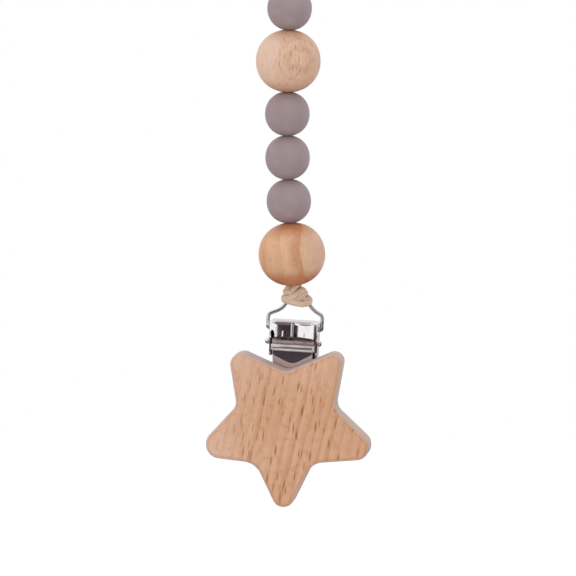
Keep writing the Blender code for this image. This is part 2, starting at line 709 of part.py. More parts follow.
def star_outline():
    """The star seen from the front, its corners rounded, its side arms set a little towards +X."""
    right = (
        (UPPER_ARM_ANGLE, STAR_UPPER_REACH, STAR_UPPER_TIP_RADIUS, 0),
        (SIDE_VALLEY_ANGLE, STAR_VALLEY_REACH, STAR_SIDE_VALLEY_RADIUS, 0),
        (SIDE_ARM_ANGLE, STAR_SIDE_REACH, STAR_SIDE_TIP_RADIUS, STAR_SIDE_SHIFT),
        (LOW_VALLEY_ANGLE, STAR_VALLEY_REACH, STAR_LOW_VALLEY_RADIUS, 0),
    )
    left = [(180 - angle, reach, radius, shift) for angle, reach, radius, shift in reversed(right)]
    notch = (90, STAR_NOTCH_REACH, STAR_NOTCH_RADIUS, 0)
    bottom = (-90, STAR_BOTTOM_REACH, STAR_BOTTOM_TIP_RADIUS, 0)
    places = []
    radii = []
    for angle, reach, radius, shift in (notch, *right, bottom, *left):
        turn = math.radians(angle)
        places.append(Vector((reach * math.cos(turn) + shift, reach * math.sin(turn))))
        radii.append(radius)
    return rounded_outline(places, radii)


def make_star(pin_axis):
    """The wooden star, its edges rounded over, with pilot holes for the screws in its back."""
    back = -LEVER_PLATE_FRONT - SEAT_GAP
    mesh = slab("wooden_star", star_outline(), STAR_THICKNESS, XZ_PLANE)
    place = (-STAR_SHIFT, back - STAR_THICKNESS / 2, -STAR_CENTRE_DROP)
    star = node("wooden_star", mesh, "star_beech", pin_axis, place, (0, -math.radians(STAR_LEAN), 0))
    soften(star, STAR_EDGE_RADIUS, 4, 60)
    screw_end = -LEVER_PLATE_FRONT + SHEET + SEAT_GAP - SCREW_LENGTH
    for drop in (UPPER_SCREW_DROP, LOWER_SCREW_DROP):
        pilot = rod("screw_pilot", SCREW_DIAMETER / 2 + SCREW_FIT, screw_end - SEAT_GAP,
                    OVERRUN + back, "Y")
        cut(star, helper("screw_pilot", pilot, pin_axis, (0, 0, -drop)))


def make_star_screws(pin_axis):
    """Two round-headed screws, their heads on the back of the lever's plate."""
    seat = SHEET - LEVER_PLATE_FRONT + SEAT_GAP
    for name, drop in (("star_screw_upper", UPPER_SCREW_DROP), ("star_screw_lower", LOWER_SCREW_DROP)):
        profile = [(r * SCREW_HEAD_DIAMETER / 2, h * SCREW_HEAD_HEIGHT) for r, h in head_profile_shares]
        point_top = SCREW_DIAMETER - SCREW_LENGTH
        profile += [(SCREW_DIAMETER / 2, 0), (SCREW_DIAMETER / 2, point_top), (0, -SCREW_LENGTH)]
        mesh = turned(name, profile)
        screw = node(name, mesh, "screw_steel", pin_axis, (0, seat, -drop), (-math.pi / 2, 0, 0))
        turn_profile(screw, ROUND_SIDES)
        slot = block("screw_slot", (-SCREW_HEAD_DIAMETER, SCREW_HEAD_HEIGHT / 2, -SCREW_SLOT_WIDTH / 2),
                     (SCREW_HEAD_DIAMETER, SCREW_HEAD_HEIGHT + OVERRUN, SCREW_SLOT_WIDTH / 2))
        cut(screw, helper("screw_slot", slot, pin_axis, (0, seat, -drop)))


def leaf_place():
    """The leaf's upper end: behind the cam, under the roof of the box."""
    back = CAM_RADIUS + SEAT_GAP + LEAF_SHEET / 2
    return Vector((0, back, BODY_TOP - SHEET - SEAT_GAP - LEAF_SHEET / 2))


def make_inner_jaw(jaw_axis):
    """The spring-steel leaf: down past the cam, bent forward, then down behind the lever's plate."""
    back, top = leaf_place().yz
    low_back = back - LEAF_SET_FORWARD
    line = [Vector((back, top)), Vector((back, -LEAF_UPPER_BEND_DROP)),
            Vector((low_back, -LEAF_LOWER_BEND_DROP)), Vector((low_back, -LEAF_DROP))]
    upper = corner_arc(*line[:3], LEAF_BEND_RADIUS, 4)
    lower = corner_arc(*line[1:], LEAF_BEND_RADIUS, 4)
    path = [line[0], *upper, *lower, line[3]]
    form = bmesh.new()
    sides = (-LEAF_WIDTH / 2, LEAF_WIDTH / 2)
    rows = [[form.verts.new((x, y - back, z - top)) for x in sides] for y, z in path]
    for (left, right), (low_left, low_right) in zip(rows, rows[1:]):
        form.faces.new((left, low_left, low_right, right))
    leaf = node("inner_jaw", mesh_from(form, "inner_jaw"), "spring_steel", jaw_axis)
    sheet = leaf.modifiers.new("sheet", "SOLIDIFY")
    sheet.thickness = LEAF_SHEET
    sheet.offset = 0
    sheet.use_even_offset = True


def pad_outline(flat, side):
    """A pad from its flat back to its teeth, seen from the side; side is 1 for teeth along +Y."""
    leaf_back = leaf_place().y - LEAF_SET_FORWARD + LEAF_SHEET / 2 + SEAT_GAP
    wall_front = BODY_BACK - SHEET / 2 - JAW_PLATE / 2 - SEAT_GAP
    face = (leaf_back + wall_front - side * PAD_GAP) / 2
    outline = [(flat, -PAD_END_DROP), (flat, PAD_HEIGHT - PAD_END_DROP)]
    for step in range(2 * TOOTH_COUNT + 1):
        tooth = TOOTH_HEIGHT * (0.5 - step % 2)
        outline.append((face + tooth, PAD_HEIGHT * (1 - step / (2 * TOOTH_COUNT)) - PAD_END_DROP))
    return outline


def make_pads(jaw_axis, swing_axis, pin_place):
    """The toothed pads: one on the back of the leaf, one on the back jaw."""
    leaf = leaf_place()
    front_flat = leaf.y - LEAF_SET_FORWARD + LEAF_SHEET / 2 + SEAT_GAP
    back_flat = BODY_BACK - SHEET / 2 - JAW_PLATE / 2 - SEAT_GAP
    front = slab("front_pad", pad_outline(front_flat, 1), PAD_WIDTH, YZ_PLANE)
    node("front_pad", front, "pad_plastic", jaw_axis, -leaf)
    back = slab("back_pad", pad_outline(back_flat, -1), PAD_WIDTH, YZ_PLANE)
    node("back_pad", back, "pad_plastic", swing_axis, pin_place)


def main():
    """Builds the part from the top down."""
    root = joint("hanging_point")
    knot_low = make_loop_knot(root)
    make_end_loop(root)
    lowest = make_strand(knot_low)
    neck_top = BAIL_HOLE_UP + BAIL_HEIGHT + CLIP_NECK_HEIGHT
    last_joint = joint(f"strand_joint_{len(BEADS) + 1}", None, lowest, CLIP_LEAN)
    clip_frame = joint("clip_frame", last_joint, (CLIP_NECK_SHIFT, 0, -neck_top - BEAD_GAP / 2))
    make_clip_knot(clip_frame, neck_top)
    node("bail", tube("bail", bail_route(), BAIL_WIRE), "chrome", clip_frame)
    swing_axis = joint("swing_axis", clip_frame, (0, 0, BAIL_HOLE_UP))
    pin_place = Vector((0, 0, -BAIL_HOLE_UP))
    make_clip_body(swing_axis, pin_place)
    make_hinge_pin(swing_axis, pin_place)
    pin_axis = joint("pin_axis", swing_axis, pin_place)
    make_lever(pin_axis)
    make_star(pin_axis)
    make_star_screws(pin_axis)
    jaw_axis = joint("jaw_axis", swing_axis, pin_place + leaf_place())
    make_inner_jaw(jaw_axis)
    make_pads(jaw_axis, swing_axis, pin_place)


main()
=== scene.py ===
"""The teether clip's looks: braided cord, silicone and beech beads, a sprung clip and a beech star.

Metres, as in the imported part: it hangs from the origin, its face looks along -Y.
"""

from math import asin, cos, hypot, pi, radians, sin, sqrt, tan

import bmesh
import bpy
from mathutils import Euler, Matrix, Vector


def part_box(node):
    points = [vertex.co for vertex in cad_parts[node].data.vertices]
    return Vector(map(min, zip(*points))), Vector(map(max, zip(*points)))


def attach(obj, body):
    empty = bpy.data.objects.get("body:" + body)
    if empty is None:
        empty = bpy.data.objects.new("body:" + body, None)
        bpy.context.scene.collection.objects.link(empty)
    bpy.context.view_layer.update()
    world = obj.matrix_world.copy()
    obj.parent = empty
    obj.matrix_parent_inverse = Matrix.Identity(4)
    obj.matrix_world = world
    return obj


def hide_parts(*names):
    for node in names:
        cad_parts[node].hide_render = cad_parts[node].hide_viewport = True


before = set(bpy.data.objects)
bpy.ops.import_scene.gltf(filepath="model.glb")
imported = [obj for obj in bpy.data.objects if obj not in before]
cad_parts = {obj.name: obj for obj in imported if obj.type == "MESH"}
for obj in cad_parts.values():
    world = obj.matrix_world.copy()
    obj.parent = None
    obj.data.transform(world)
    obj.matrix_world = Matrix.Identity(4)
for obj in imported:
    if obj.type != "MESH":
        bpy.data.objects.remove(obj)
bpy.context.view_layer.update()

MM = 0.001

# Where the pieces hang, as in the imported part
LOOP_LENGTH = 0.034
LOOP_WIDTH = 0.0115
LOOP_LEG_SPACING = 0.0024
CORD_DIAMETER = 0.0015
CLIP_PLACE = Vector((0.0010896, 0, -0.1380154))
CLIP_LEAN = -2.6
STAR_LEAN = 2.0


# Camera, floor and light

VIEW_AZIMUTH = 7.0
VIEW_ELEVATION = 6.0
VIEW_DISTANCE = 1.2
VIEW_WIDTH = 0.1582
VIEW_TARGET = Vector((-0.0006, 0, -0.1231))


def shown(name, data, place=(0, 0, 0)):
    """A new object in the scene."""
    made = bpy.data.objects.new(name, data)
    bpy.context.scene.collection.objects.link(made)
    made.location = place
    return made


def aim(made, azimuth, elevation, distance):
    """Sets an object at these angles from the part, looking at it; azimuth 0 is before its face."""
    side, up = radians(azimuth), radians(elevation)
    way = Vector((sin(side) * cos(up), -cos(side) * cos(up), sin(up)))
    made.location = VIEW_TARGET + distance * way
    made.rotation_euler = (VIEW_TARGET - made.location).to_track_quat("-Z", "Y").to_euler()


def set_camera():
    """The photograph's view: a long lens a little to the right of the face and above it."""
    lens = bpy.data.cameras.new("camera")
    lens.sensor_width = 36
    lens.lens = lens.sensor_width * VIEW_DISTANCE / VIEW_WIDTH
    lens.clip_start = 0.05
    lens.clip_end = 20
    made = shown("camera", lens)
    aim(made, VIEW_AZIMUTH, VIEW_ELEVATION, VIEW_DISTANCE)
    bpy.context.scene.camera = made


def soft_lamp(name, azimuth, elevation, distance, size, power):
    """A square lamp that looks at the beads and the star."""
    light = bpy.data.lights.new(name, "AREA")
    light.shape = "SQUARE"
    light.size = size
    light.energy = power
    made = shown(name, light)
    aim(made, azimuth, elevation, distance)
    made.visible_glossy = False


# Node trees


class Recipe:
    """A node tree that is written in steps: each call adds one node and returns its output."""

    def __init__(self, tree):
        self.tree = tree

    def put(self, kind, **settings):
        """Adds one node."""
        made = self.tree.nodes.new("ShaderNode" + kind)
        for setting, value in settings.items():
            setattr(made, setting, value)
        return made

    def feed(self, socket, value):
        """Links an output to a socket, or sets the socket's own value."""
        if isinstance(value, bpy.types.NodeSocket):
            self.tree.links.new(value, socket)
        elif value is not None:
            socket.default_value = value

    def fill(self, node, *values, **named):
        """Feeds a node's inputs, in order or by name with _ for spaces; gives its outputs."""
        for socket, value in zip(node.inputs, values):
            self.feed(socket, value)
        for label, value in named.items():
            self.feed(node.inputs[label.replace("_", " ")], value)
        return node.outputs

    def maths(self, operation, *values, clamp=False):
        """One Math node."""
        return self.fill(self.put("Math", operation=operation, use_clamp=clamp), *values)[0]

    def times(self, first, second):
        """A product."""
        return self.maths("MULTIPLY", first, second)

    def plus(self, first, second):
        """A sum."""
        return self.maths("ADD", first, second)

    def over(self, first, second):
        """A quotient."""
        return self.maths("DIVIDE", first, second)

    def vectors(self, operation, *values):
        """One Vector Math node."""
        return self.fill(self.put("VectorMath", operation=operation), *values)[0]

    def scaled(self, vector, *factors):
        """A vector times one number, or times one for each side."""
        if len(factors) == 1:
            return self.vectors("SCALE", vector, None, None, *factors)
        return self.vectors("MULTIPLY", vector, factors)

    def noise(self, place, scale, detail=2.0, roughness=0.5, colour=False):
        """Noise from 0 to 1."""
        given = self.fill(self.put("TexNoise"), Vector=place, Scale=scale, Detail=detail,
                          Roughness=roughness)
        return given["Color" if colour else 0]

    def cells(self, place, scale):
        """Scattered cells: how far off each one's middle is, and three numbers of its own."""
        given = self.fill(self.put("TexVoronoi"), Vector=place, Scale=scale)
        return given["Distance"], self.fill(self.put("SeparateColor"), given["Color"])

    def ease(self, value, start, end, low=0.0, high=1.0):
        """Goes smoothly from low to high while value goes from start to end."""
        made = self.put("MapRange", interpolation_type="SMOOTHSTEP")
        return self.fill(made, value, start, end, low, high)[0]

    def blended(self, share, first, second, way="MIX"):
        """Two colours mixed by a share."""
        made = self.put("Mix", data_type="RGBA", blend_type=way)
        colours = [c if isinstance(c, bpy.types.NodeSocket) else (*c, 1.0) for c in (first, second)]
        return self.fill(made, share, *[None] * 5, *colours)[2]

    def bump(self, height, depth, distance):
        """A normal from heights; distance is what a height of one stands for, in millimetres."""
        return self.fill(self.put("Bump"), Strength=depth, Distance=distance * MM, Height=height)[0]

    def coordinates(self, label):
        """Object, Normal or Generated coordinates."""
        return self.put("TexCoord").outputs[label]

    def place_in_mm(self):
        """Where a point is on its piece, in millimetres."""
        return self.scaled(self.coordinates("Object"), 1 / MM)

    def sides(self, vector):
        """The three numbers of a vector."""
        return self.fill(self.put("SeparateXYZ"), vector)

    def joined(self, *sides):
        """A vector of three numbers."""
        return self.fill(self.put("CombineXYZ"), *sides)[0]

    def moved(self, place, location, rotation):
        """A place turned, then shifted."""
        made = self.put("Mapping", vector_type="POINT")
        return self.fill(made, Vector=place, Location=location, Rotation=rotation)[0]

    def use(self, group, **values):
        """Places an effect, its inputs by name; gives its outputs."""
        return self.fill(self.put("Group", node_tree=group), **values)


def effect(name, inputs, outputs):
    """A shared effect; gives its group, its recipe, its inputs and the node of its outputs."""
    tree = bpy.data.node_groups.new(name, "ShaderNodeTree")
    for label, value in inputs.items():
        kind = "NodeSocketVector" if value is None else "NodeSocketFloat"
        socket = tree.interface.new_socket(label, in_out="INPUT", socket_type=kind)
        if value is not None:
            socket.default_value = value
    for label in outputs:
        tree.interface.new_socket(label, in_out="OUTPUT", socket_type="NodeSocketFloat")
    return tree, Recipe(tree), tree.nodes.new("NodeGroupInput").outputs, tree.nodes.new("NodeGroupOutput")


GRAIN_RADIUS = 40.0
RAY_DEPTH = 3.5
FIBRES_PER_MM = (4.5, 4.5, 0.35)


def make_beech_grain():
    """Beech: rings round the Z axis of Place, ray flecks, fibres and a broad drift of tone."""
    group, r, given, out = effect(
        "beech_grain",
        {"Place": None, "Ring Spacing": 2.6, "Warp": 3.0, "Fleck Length": 2.4, "Fleck Width": 0.42},
        ("Ring", "Fleck", "Fibre", "Tone"))
    place = given["Place"]
    drift = r.vectors("SUBTRACT", r.noise(r.scaled(place, 0.11, 0.11, 0.035), 1.0, colour=True),
                      (0.5, 0.5, 0.5))
    across, deep, along = r.sides(r.vectors("ADD", place, r.scaled(drift, given["Warp"])))
    radius = r.maths("SQRT", r.plus(r.times(across, across), r.times(deep, deep)))
    round_it = r.times(r.maths("ARCTAN2", deep, across), GRAIN_RADIUS)
    ripple = r.times(r.noise(r.scaled(place, 0.5, 0.5, 0.09), 1.0, 3.0), 0.45)
    phase = r.plus(r.over(radius, given["Ring Spacing"]), ripple)
    share = r.maths("FRACT", phase)
    year = r.fill(r.put("TexWhiteNoise", noise_dimensions="1D"), W=r.maths("FLOOR", phase))[0]
    line = r.times(r.ease(share, 0.25, 0.9), r.ease(share, 0.92, 1.0, 1.0, 0.0))
    ring = r.times(line, r.ease(year, 0.0, 1.0, 0.35, 1.0))
    near, chosen = r.cells(r.joined(r.over(round_it, given["Fleck Width"]), r.over(radius, RAY_DEPTH),
                                    r.over(along, given["Fleck Length"])), 1.0)
    crowd = r.ease(r.plus(chosen[0], r.times(ring, 0.6)), 0.66, 0.92)
    fibres = r.scaled(r.joined(round_it, radius, along), *FIBRES_PER_MM)
    r.fill(out, Ring=ring, Fleck=r.times(r.ease(near, 0.16, 0.46, 1.0, 0.0), crowd),
           Fibre=r.noise(fibres, 1.0, 3.0, 0.6), Tone=r.noise(r.scaled(place, 0.16, 0.16, 0.05), 1.0))
    return group


def make_metal_wear():
    """Handled metal: smudges, and hairlines that run several ways."""
    group, r, given, out = effect("metal_wear", {"Place": None, "Size": 1.0}, ("Smudge", "Hairline"))
    place = r.scaled(given["Place"], given["Size"])
    lines = 0.0
    for turn, seed in ((0.3, 3.1), (1.35, 17.7), (2.4, 41.3)):
        thin = r.noise(r.scaled(r.moved(place, (seed,) * 3, (0.4, turn, 0.2)), 26.0, 26.0, 0.7), 1.0, 1.0)
        lines = r.maths("MAXIMUM", lines, r.ease(thin, 0.71, 0.76))
    r.fill(out, Smudge=r.ease(r.noise(place, 0.45, 4.0, 0.62), 0.42, 0.72), Hairline=lines)
    return group


def make_moulded_skin():
    """Moulded rubber and plastic: a fine matte grain, a slow drift and a few pale specks."""
    group, r, given, out = effect("moulded_skin", {"Place": None, "Speck Size": 0.16},
                                  ("Grain", "Drift", "Speck"))
    place = given["Place"]
    far, chosen = r.cells(place, 1.1)
    near = r.maths("SUBTRACT", 1.0, r.over(far, r.times(given["Speck Size"], chosen[1])), clamp=True)
    r.fill(out, Grain=r.noise(place, 9.0, 3.0, 0.6), Drift=r.noise(place, 0.22),
           Speck=r.times(near, r.ease(chosen[0], 0.7, 0.8)))
    return group


def material(name):
    """A new material: its recipe and its Principled shader."""
    made = bpy.data.materials.new(name)
    made.use_nodes = True
    shader = made.node_tree.nodes["Principled BSDF"]
    return made, Recipe(made.node_tree), shader


# How far the painted light and shade of the tints by place wander with the wood's tone, in mm
PAINTED_LIGHT_WANDER = 4.0
# A darker orange line on the star where its flat face turns into the rounded edge
RIM_LINE_SHARE = 0.36
RIM_LINE_BEECH = (0.48, 0.20, 0.08)


def beech(name, pale, dark, fleck_colour, pith, turn, spacing, warp, rough, shine, ring_share,
          fleck_share, fleck_length, fleck_width, edge, tints):
    """Sanded beech; pith is where the trunk's middle lies from the piece, in mm, after the turn.

    edge is (axis, start, end, colour, share): that colour is painted on as the surface turns from
    start to end, measured as how much it faces along the axis: painted shade on the beads' ends and
    a painted highlight round the star's rounded rim. The last argument paints light and shade the
    same way by place along an axis, in mm.
    """
    made, r, shader = material(name)
    place = r.place_in_mm()
    grain = r.use(BEECH_GRAIN, Place=r.moved(place, pith, [radians(angle) for angle in turn]),
                  Ring_Spacing=spacing, Warp=warp, Fleck_Length=fleck_length, Fleck_Width=fleck_width)
    wood = r.blended(r.times(grain["Ring"], ring_share), pale, dark)
    wood = r.blended(r.ease(grain["Tone"], 0.3, 0.7, 0.0, 0.3), wood, dark)
    wood = r.blended(r.ease(grain["Fibre"], 0.35, 0.7, 0.0, 0.22), wood, dark, "MULTIPLY")
    wood = r.blended(r.times(grain["Fleck"], fleck_share), wood, fleck_colour)
    # Painted light and shade by place: paler towards lit sides, darker towards shaded sides and undersides
    for axis, start, end, colour, share in tints:
        painted_light_place = r.plus(r.sides(place)[axis], r.times(grain["Tone"], PAINTED_LIGHT_WANDER))
        shift = PAINTED_LIGHT_WANDER / 2
        wood = r.blended(r.ease(painted_light_place, start + shift, end + shift, 0.0, share), wood, colour)
    # Painted by facing: shade on the beads' ends where their neighbours touch, a highlight on the star's
    # rim
    axis, start, end, colour, share = edge
    facing = r.maths("ABSOLUTE", r.sides(r.coordinates("Normal"))[axis])
    uneven = r.maths("SUBTRACT", r.plus(grain["Fibre"], r.noise(place, 0.55)), 1.0)
    ragged = r.plus(facing, r.times(uneven, 0.16))
    wood = r.blended(r.ease(ragged, start, end, 0.0, share), wood, colour)
    # On the star: a darker orange line where the flat face turns into the rounded edge
    if axis == 1:
        rim_line = r.times(r.ease(ragged, 0.995, 0.96), r.ease(ragged, 0.84, 0.93))
        wood = r.blended(r.times(rim_line, RIM_LINE_SHARE), wood, RIM_LINE_BEECH)
    hollow = r.plus(r.times(grain["Fleck"], -0.5), grain["Fibre"])
    r.fill(shader, Base_Color=wood, Roughness=r.ease(grain["Fibre"], 0.3, 0.7, rough - 0.05, rough + 0.08),
           Normal=r.bump(hollow, 0.35, 0.03), Specular_IOR_Level=shine)
    return made


def moulded(name, tones, fine, specks, rough, depth, distance, speck_size=0.16, **looks):
    """Moulded rubber or plastic: two tones, a finer one (colour, share), specks (colour, share)."""
    made, r, shader = material(name)
    skin = r.use(MOULDED_SKIN, Place=r.place_in_mm(), Speck_Size=speck_size)
    tone = r.blended(r.ease(skin["Drift"], 0.3, 0.7), *tones)
    if fine:
        tone = r.blended(r.ease(skin["Grain"], 0.35, 0.75, 0.0, fine[1]), tone, fine[0])
    r.fill(shader, Base_Color=r.blended(r.times(skin["Speck"], specks[1]), tone, specks[0]),
           Roughness=r.ease(skin["Grain"], 0.3, 0.7, *rough), Normal=r.bump(skin["Grain"], depth, distance),
           **looks)
    return made


def cord_material():
    """Waxed cotton braid: pale strands, painted shade in the hollows between them, a little fuzz."""
    made, r, shader = material("braided_cord")
    parts = r.sides(r.put("UVMap", uv_map="braid").outputs["UV"])
    around = r.times(parts[1], BRAID_STRANDS)
    along = r.over(parts[0], BRAID_PITCH / MM)
    crossing = 1.0
    for way in ("ADD", "SUBTRACT"):
        share = r.maths("FRACT", r.maths(way, around, along))
        crossing = r.times(crossing, r.maths("SINE", r.times(share, pi)))
    place = r.place_in_mm()
    fuzz = r.noise(place, 14.0, 3.0, 0.65)
    base = r.blended(r.ease(r.noise(place, 0.5), 0.3, 0.7), (0.78, 0.57, 0.43), (0.66, 0.46, 0.335))
    fuzzy = r.blended(r.ease(fuzz, 0.35, 0.75, 0.0, 0.5), base, (0.88, 0.71, 0.58))
    # Painted shade: the hollows between the strands are darkened to tan
    hollow = r.times(r.ease(crossing, 0.02, 0.45, 1.0, 0.0), 0.45)
    r.fill(shader, Base_Color=r.blended(hollow, fuzzy, (0.42, 0.28, 0.18)),
           Roughness=r.ease(fuzz, 0.3, 0.7, 0.62, 0.8), Normal=r.bump(fuzz, 0.5, 0.05),
           Specular_IOR_Level=0.3, Sheen_Weight=0.15)
    return made


HAIRLINE_DEPTH = 0.006


def metal(name, colour, dull_colour, rough, wave=0.0):
    """Plated or plain steel with smudges and hairlines; wave is how far rolling left it uneven."""
    made, r, shader = material(name)
    place = r.place_in_mm()
    wear = r.use(METAL_WEAR, Place=place, Size=1.0)
    worn = r.plus(r.times(wear["Smudge"], rough * 1.2), r.times(wear["Hairline"], rough * 1.5))
    relief = r.plus(r.times(wear["Hairline"], -HAIRLINE_DEPTH), r.times(r.noise(place, 0.5, 1.0), wave))
    r.fill(shader, Base_Color=r.blended(r.times(wear["Smudge"], 0.6), colour, dull_colour),
           Roughness=r.plus(worn, rough), Normal=r.bump(relief, 1.0, 0.02), Metallic=1.0)
    return made


def floor_material():
    """Pale floor: white to the camera, less the shadow, but dark to the metal just before the part."""
    made, r, shader = material("pale_floor")
    path = r.put("LightPath").outputs
    dim = r.times(path["Is Glossy Ray"], r.ease(r.sides(r.coordinates("Object"))[1], *FLOOR_DIM))
    seen = r.maths("MAXIMUM", r.maths("MAXIMUM", path["Is Camera Ray"], path["Is Glossy Ray"]),
                   path["Is Transmission Ray"])
    r.fill(shader, Base_Color=r.blended(dim, (0.82, 0.82, 0.82), (0.024, 0.016, 0.020)), Roughness=0.9,
           Emission_Color=(1.0, 1.0, 1.0, 1.0),
           Emission_Strength=r.times(r.maths("SUBTRACT", seen, dim), FLOOR_LIFT))
    return made


FLOOR_DIM = (0.70, 0.45)
FLOOR_LIFT = 0.5
FLOOR_DROP = 0.32
FLOOR_SPAN = 2.2


def set_floor():
    """A wide pale floor well below the part, with a soft shadow on it."""
    form = bmesh.new()
    bmesh.ops.create_grid(form, x_segments=1, y_segments=1, size=FLOOR_SPAN / 2)
    mesh = bpy.data.meshes.new("floor")
    form.to_mesh(mesh)
    form.free()
    mesh.materials.append(floor_material())
    shown("floor", mesh, (0, 0, -FLOOR_DROP))


def set_world():
    """White to the camera. The metal sees a white wall behind the part and a dark card before it."""
    world = bpy.data.worlds.new("studio")
    bpy.context.scene.world = world
    world.use_nodes = True
    world.node_tree.nodes.clear()
    r = Recipe(world.node_tree)
    right, back, up = r.sides(r.coordinates("Generated"))
    side = r.maths("ARCTAN2", right, r.times(back, -1.0))
    flare = r.plus(r.ease(up, *LOW_FLARE, 0.0, 3.2), r.ease(up, *HIGH_FLARE, 0.0, 0.36))
    from_card = r.maths("SUBTRACT", r.maths("ABSOLUTE", r.plus(side, -CARD_SIDE)), flare)
    card = r.times(r.ease(from_card, *CARD_EDGE), r.ease(up, *CARD_TOP))
    grey = r.times(r.times(r.ease(side, *GREY_LEFT_EDGE), r.ease(side, *GREY_RIGHT_EDGE)),
                   r.times(r.ease(up, *GREY_BOTTOM), r.ease(up, *GREY_TOP)))
    behind = r.ease(back, 0.0, 0.3)
    room = r.blended(grey, (1.0, 1.0, 1.0), (0.33, 0.27, 0.30))
    dark = r.blended(r.ease(up, -0.08, 0.08), (0.048, 0.036, 0.043), (0.19, 0.145, 0.145))
    darkest = r.blended(r.ease(up, -0.16, -0.35), dark, (0.02, 0.016, 0.02))
    wall = r.blended(r.ease(up, -0.25, 0.35), (0.50, 0.47, 0.49), (1.0, 1.0, 1.0))
    mirrored = r.blended(behind, r.blended(card, room, darkest), wall)
    soft = r.blended(behind, (0.40, 0.40, 0.41), (0.95, 0.95, 0.98))
    path = r.put("LightPath").outputs
    lit = r.blended(path["Is Glossy Ray"], soft, mirrored)
    seen = r.maths("MAXIMUM", path["Is Camera Ray"], path["Is Transmission Ray"])
    sky = r.fill(r.put("Background"), r.blended(seen, lit, (1.0, 1.0, 1.0)))[0]
    r.fill(r.put("OutputWorld"), sky)


# The dark card before the part and the grey wall on its right, as the metal sees them:
# radians round the part, and heights of directions from -1 to 1
CARD_SIDE = -0.172
CARD_EDGE = (0.081, 0.068)
CARD_TOP = (0.68, 0.60)
LOW_FLARE = (-0.13, -0.36)
HIGH_FLARE = (0.05, 0.22)
GREY_LEFT_EDGE = (0.13, 0.26)
GREY_RIGHT_EDGE = (1.75, 1.45)
GREY_BOTTOM = (-0.30, -0.18)
GREY_TOP = (0.78, 0.6)

bpy.context.scene.view_settings.view_transform = "Standard"
set_camera()
set_world()
set_floor()
soft_lamp("key_lamp", -40, 25, 1.1, 0.9, 4.0)
soft_lamp("fill_lamp", 48, 12, 1.2, 0.9, 3.2)
soft_lamp("top_lamp", 10, 80, 1.0, 0.8, 1.5)

# Meshes

BRAID_STRANDS = 6
BRAID_PITCH = 0.0012
BRAID_RELIEF = 0.05
BRAID_SWELL = 0.6
BRAID_SIDES = 30
ROWS_PER_PITCH = 7


def put(name, mesh, finish, body, slot, *nodes, place=(0, 0, 0), turn=(0, 0, 0)):
    """Shows a piece on its body in its finish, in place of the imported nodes."""
    made = shown(name, mesh, place)
    made.rotation_euler = turn
    mesh.materials.clear()
    mesh.materials.append(finish)
    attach(made, body)
    if nodes:
        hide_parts(*nodes)
    return made


def smooth(mesh, sharp):
    """Shades a mesh smooth up to edges that are this sharp, in degrees."""
    mesh.shade_smooth()
    mesh.set_sharp_from_angle(angle=radians(sharp))
    return mesh


def mesh_from(form, name, sharp=35):
    """Turns a bmesh into a mesh, smooth up to its sharp edges."""
    mesh = bpy.data.meshes.new(name)
    bmesh.ops.recalc_face_normals(form, faces=form.faces)
    form.to_mesh(mesh)
    form.free()
    return smooth(mesh, sharp)


def bridge(form, first, second, closed=True):
    """Faces between two rows of corners, all the way round where they are rings."""
    count = len(first)
    return [form.faces.new((first[k], first[(k + 1) % count], second[(k + 1) % count], second[k]))
            for k in range(count if closed else count - 1)]


def round_angles(count):
    """Evenly spaced angles, once round."""
    return [2 * pi * step / count for step in range(count)]


def ways_along(route):
    """Which way a route runs at each of its points."""
    pairs = zip([route[0], *route], [*route[1:], route[-1]])
    return [(after - before).normalized() for before, after in pairs]


def turned(name, profile, steps, closed=True, sharp=50):
    """A profile of (radius, height) pairs turned about Z."""
    form = bmesh.new()
    rows = [[form.verts.new((radius * cos(angle), radius * sin(angle), height))
             for angle in round_angles(steps)] for radius, height in profile]
    for upper, lower in zip(rows, rows[1:] + rows[:closed]):
        bridge(form, lower, upper)
    bmesh.ops.remove_doubles(form, verts=form.verts, dist=0.0001 * MM)
    return mesh_from(form, name, sharp)


def spread(start, end, count):
    """Evenly spaced numbers, both ends among them."""
    return [start + (end - start) * step / count for step in range(count + 1)]


def smooth_route(points, steps):
    """Points on a smooth curve through the route's own points."""
    route = []
    ends = [2 * points[0] - points[1], *points, 2 * points[-1] - points[-2]]
    for before, start, end, after in zip(ends, ends[1:], ends[2:], ends[3:]):
        for step in range(steps):
            share = step / steps
            bend = 2 * start + (end - before) * share
            bend += (2 * before - 5 * start + 4 * end - after) * share ** 2
            bend += (3 * start - before - 3 * end + after) * share ** 3
            route.append(bend / 2)
    return [*route, points[-1]]


def even_route(points, spacing):
    """The same route with its points evenly spaced, and how far apart they are."""
    lengths = [0.0]
    for start, end in zip(points, points[1:]):
        lengths.append(lengths[-1] + (end - start).length)
    count = max(2, round(lengths[-1] / spacing))
    route, index = [], 0
    for goal in spread(0.0, lengths[-1], count):
        while index < len(points) - 2 and lengths[index + 1] < goal:
            index += 1
        share = (goal - lengths[index]) / (lengths[index + 1] - lengths[index])
        route.append(points[index].lerp(points[index + 1], share))
    return route, lengths[-1] / count


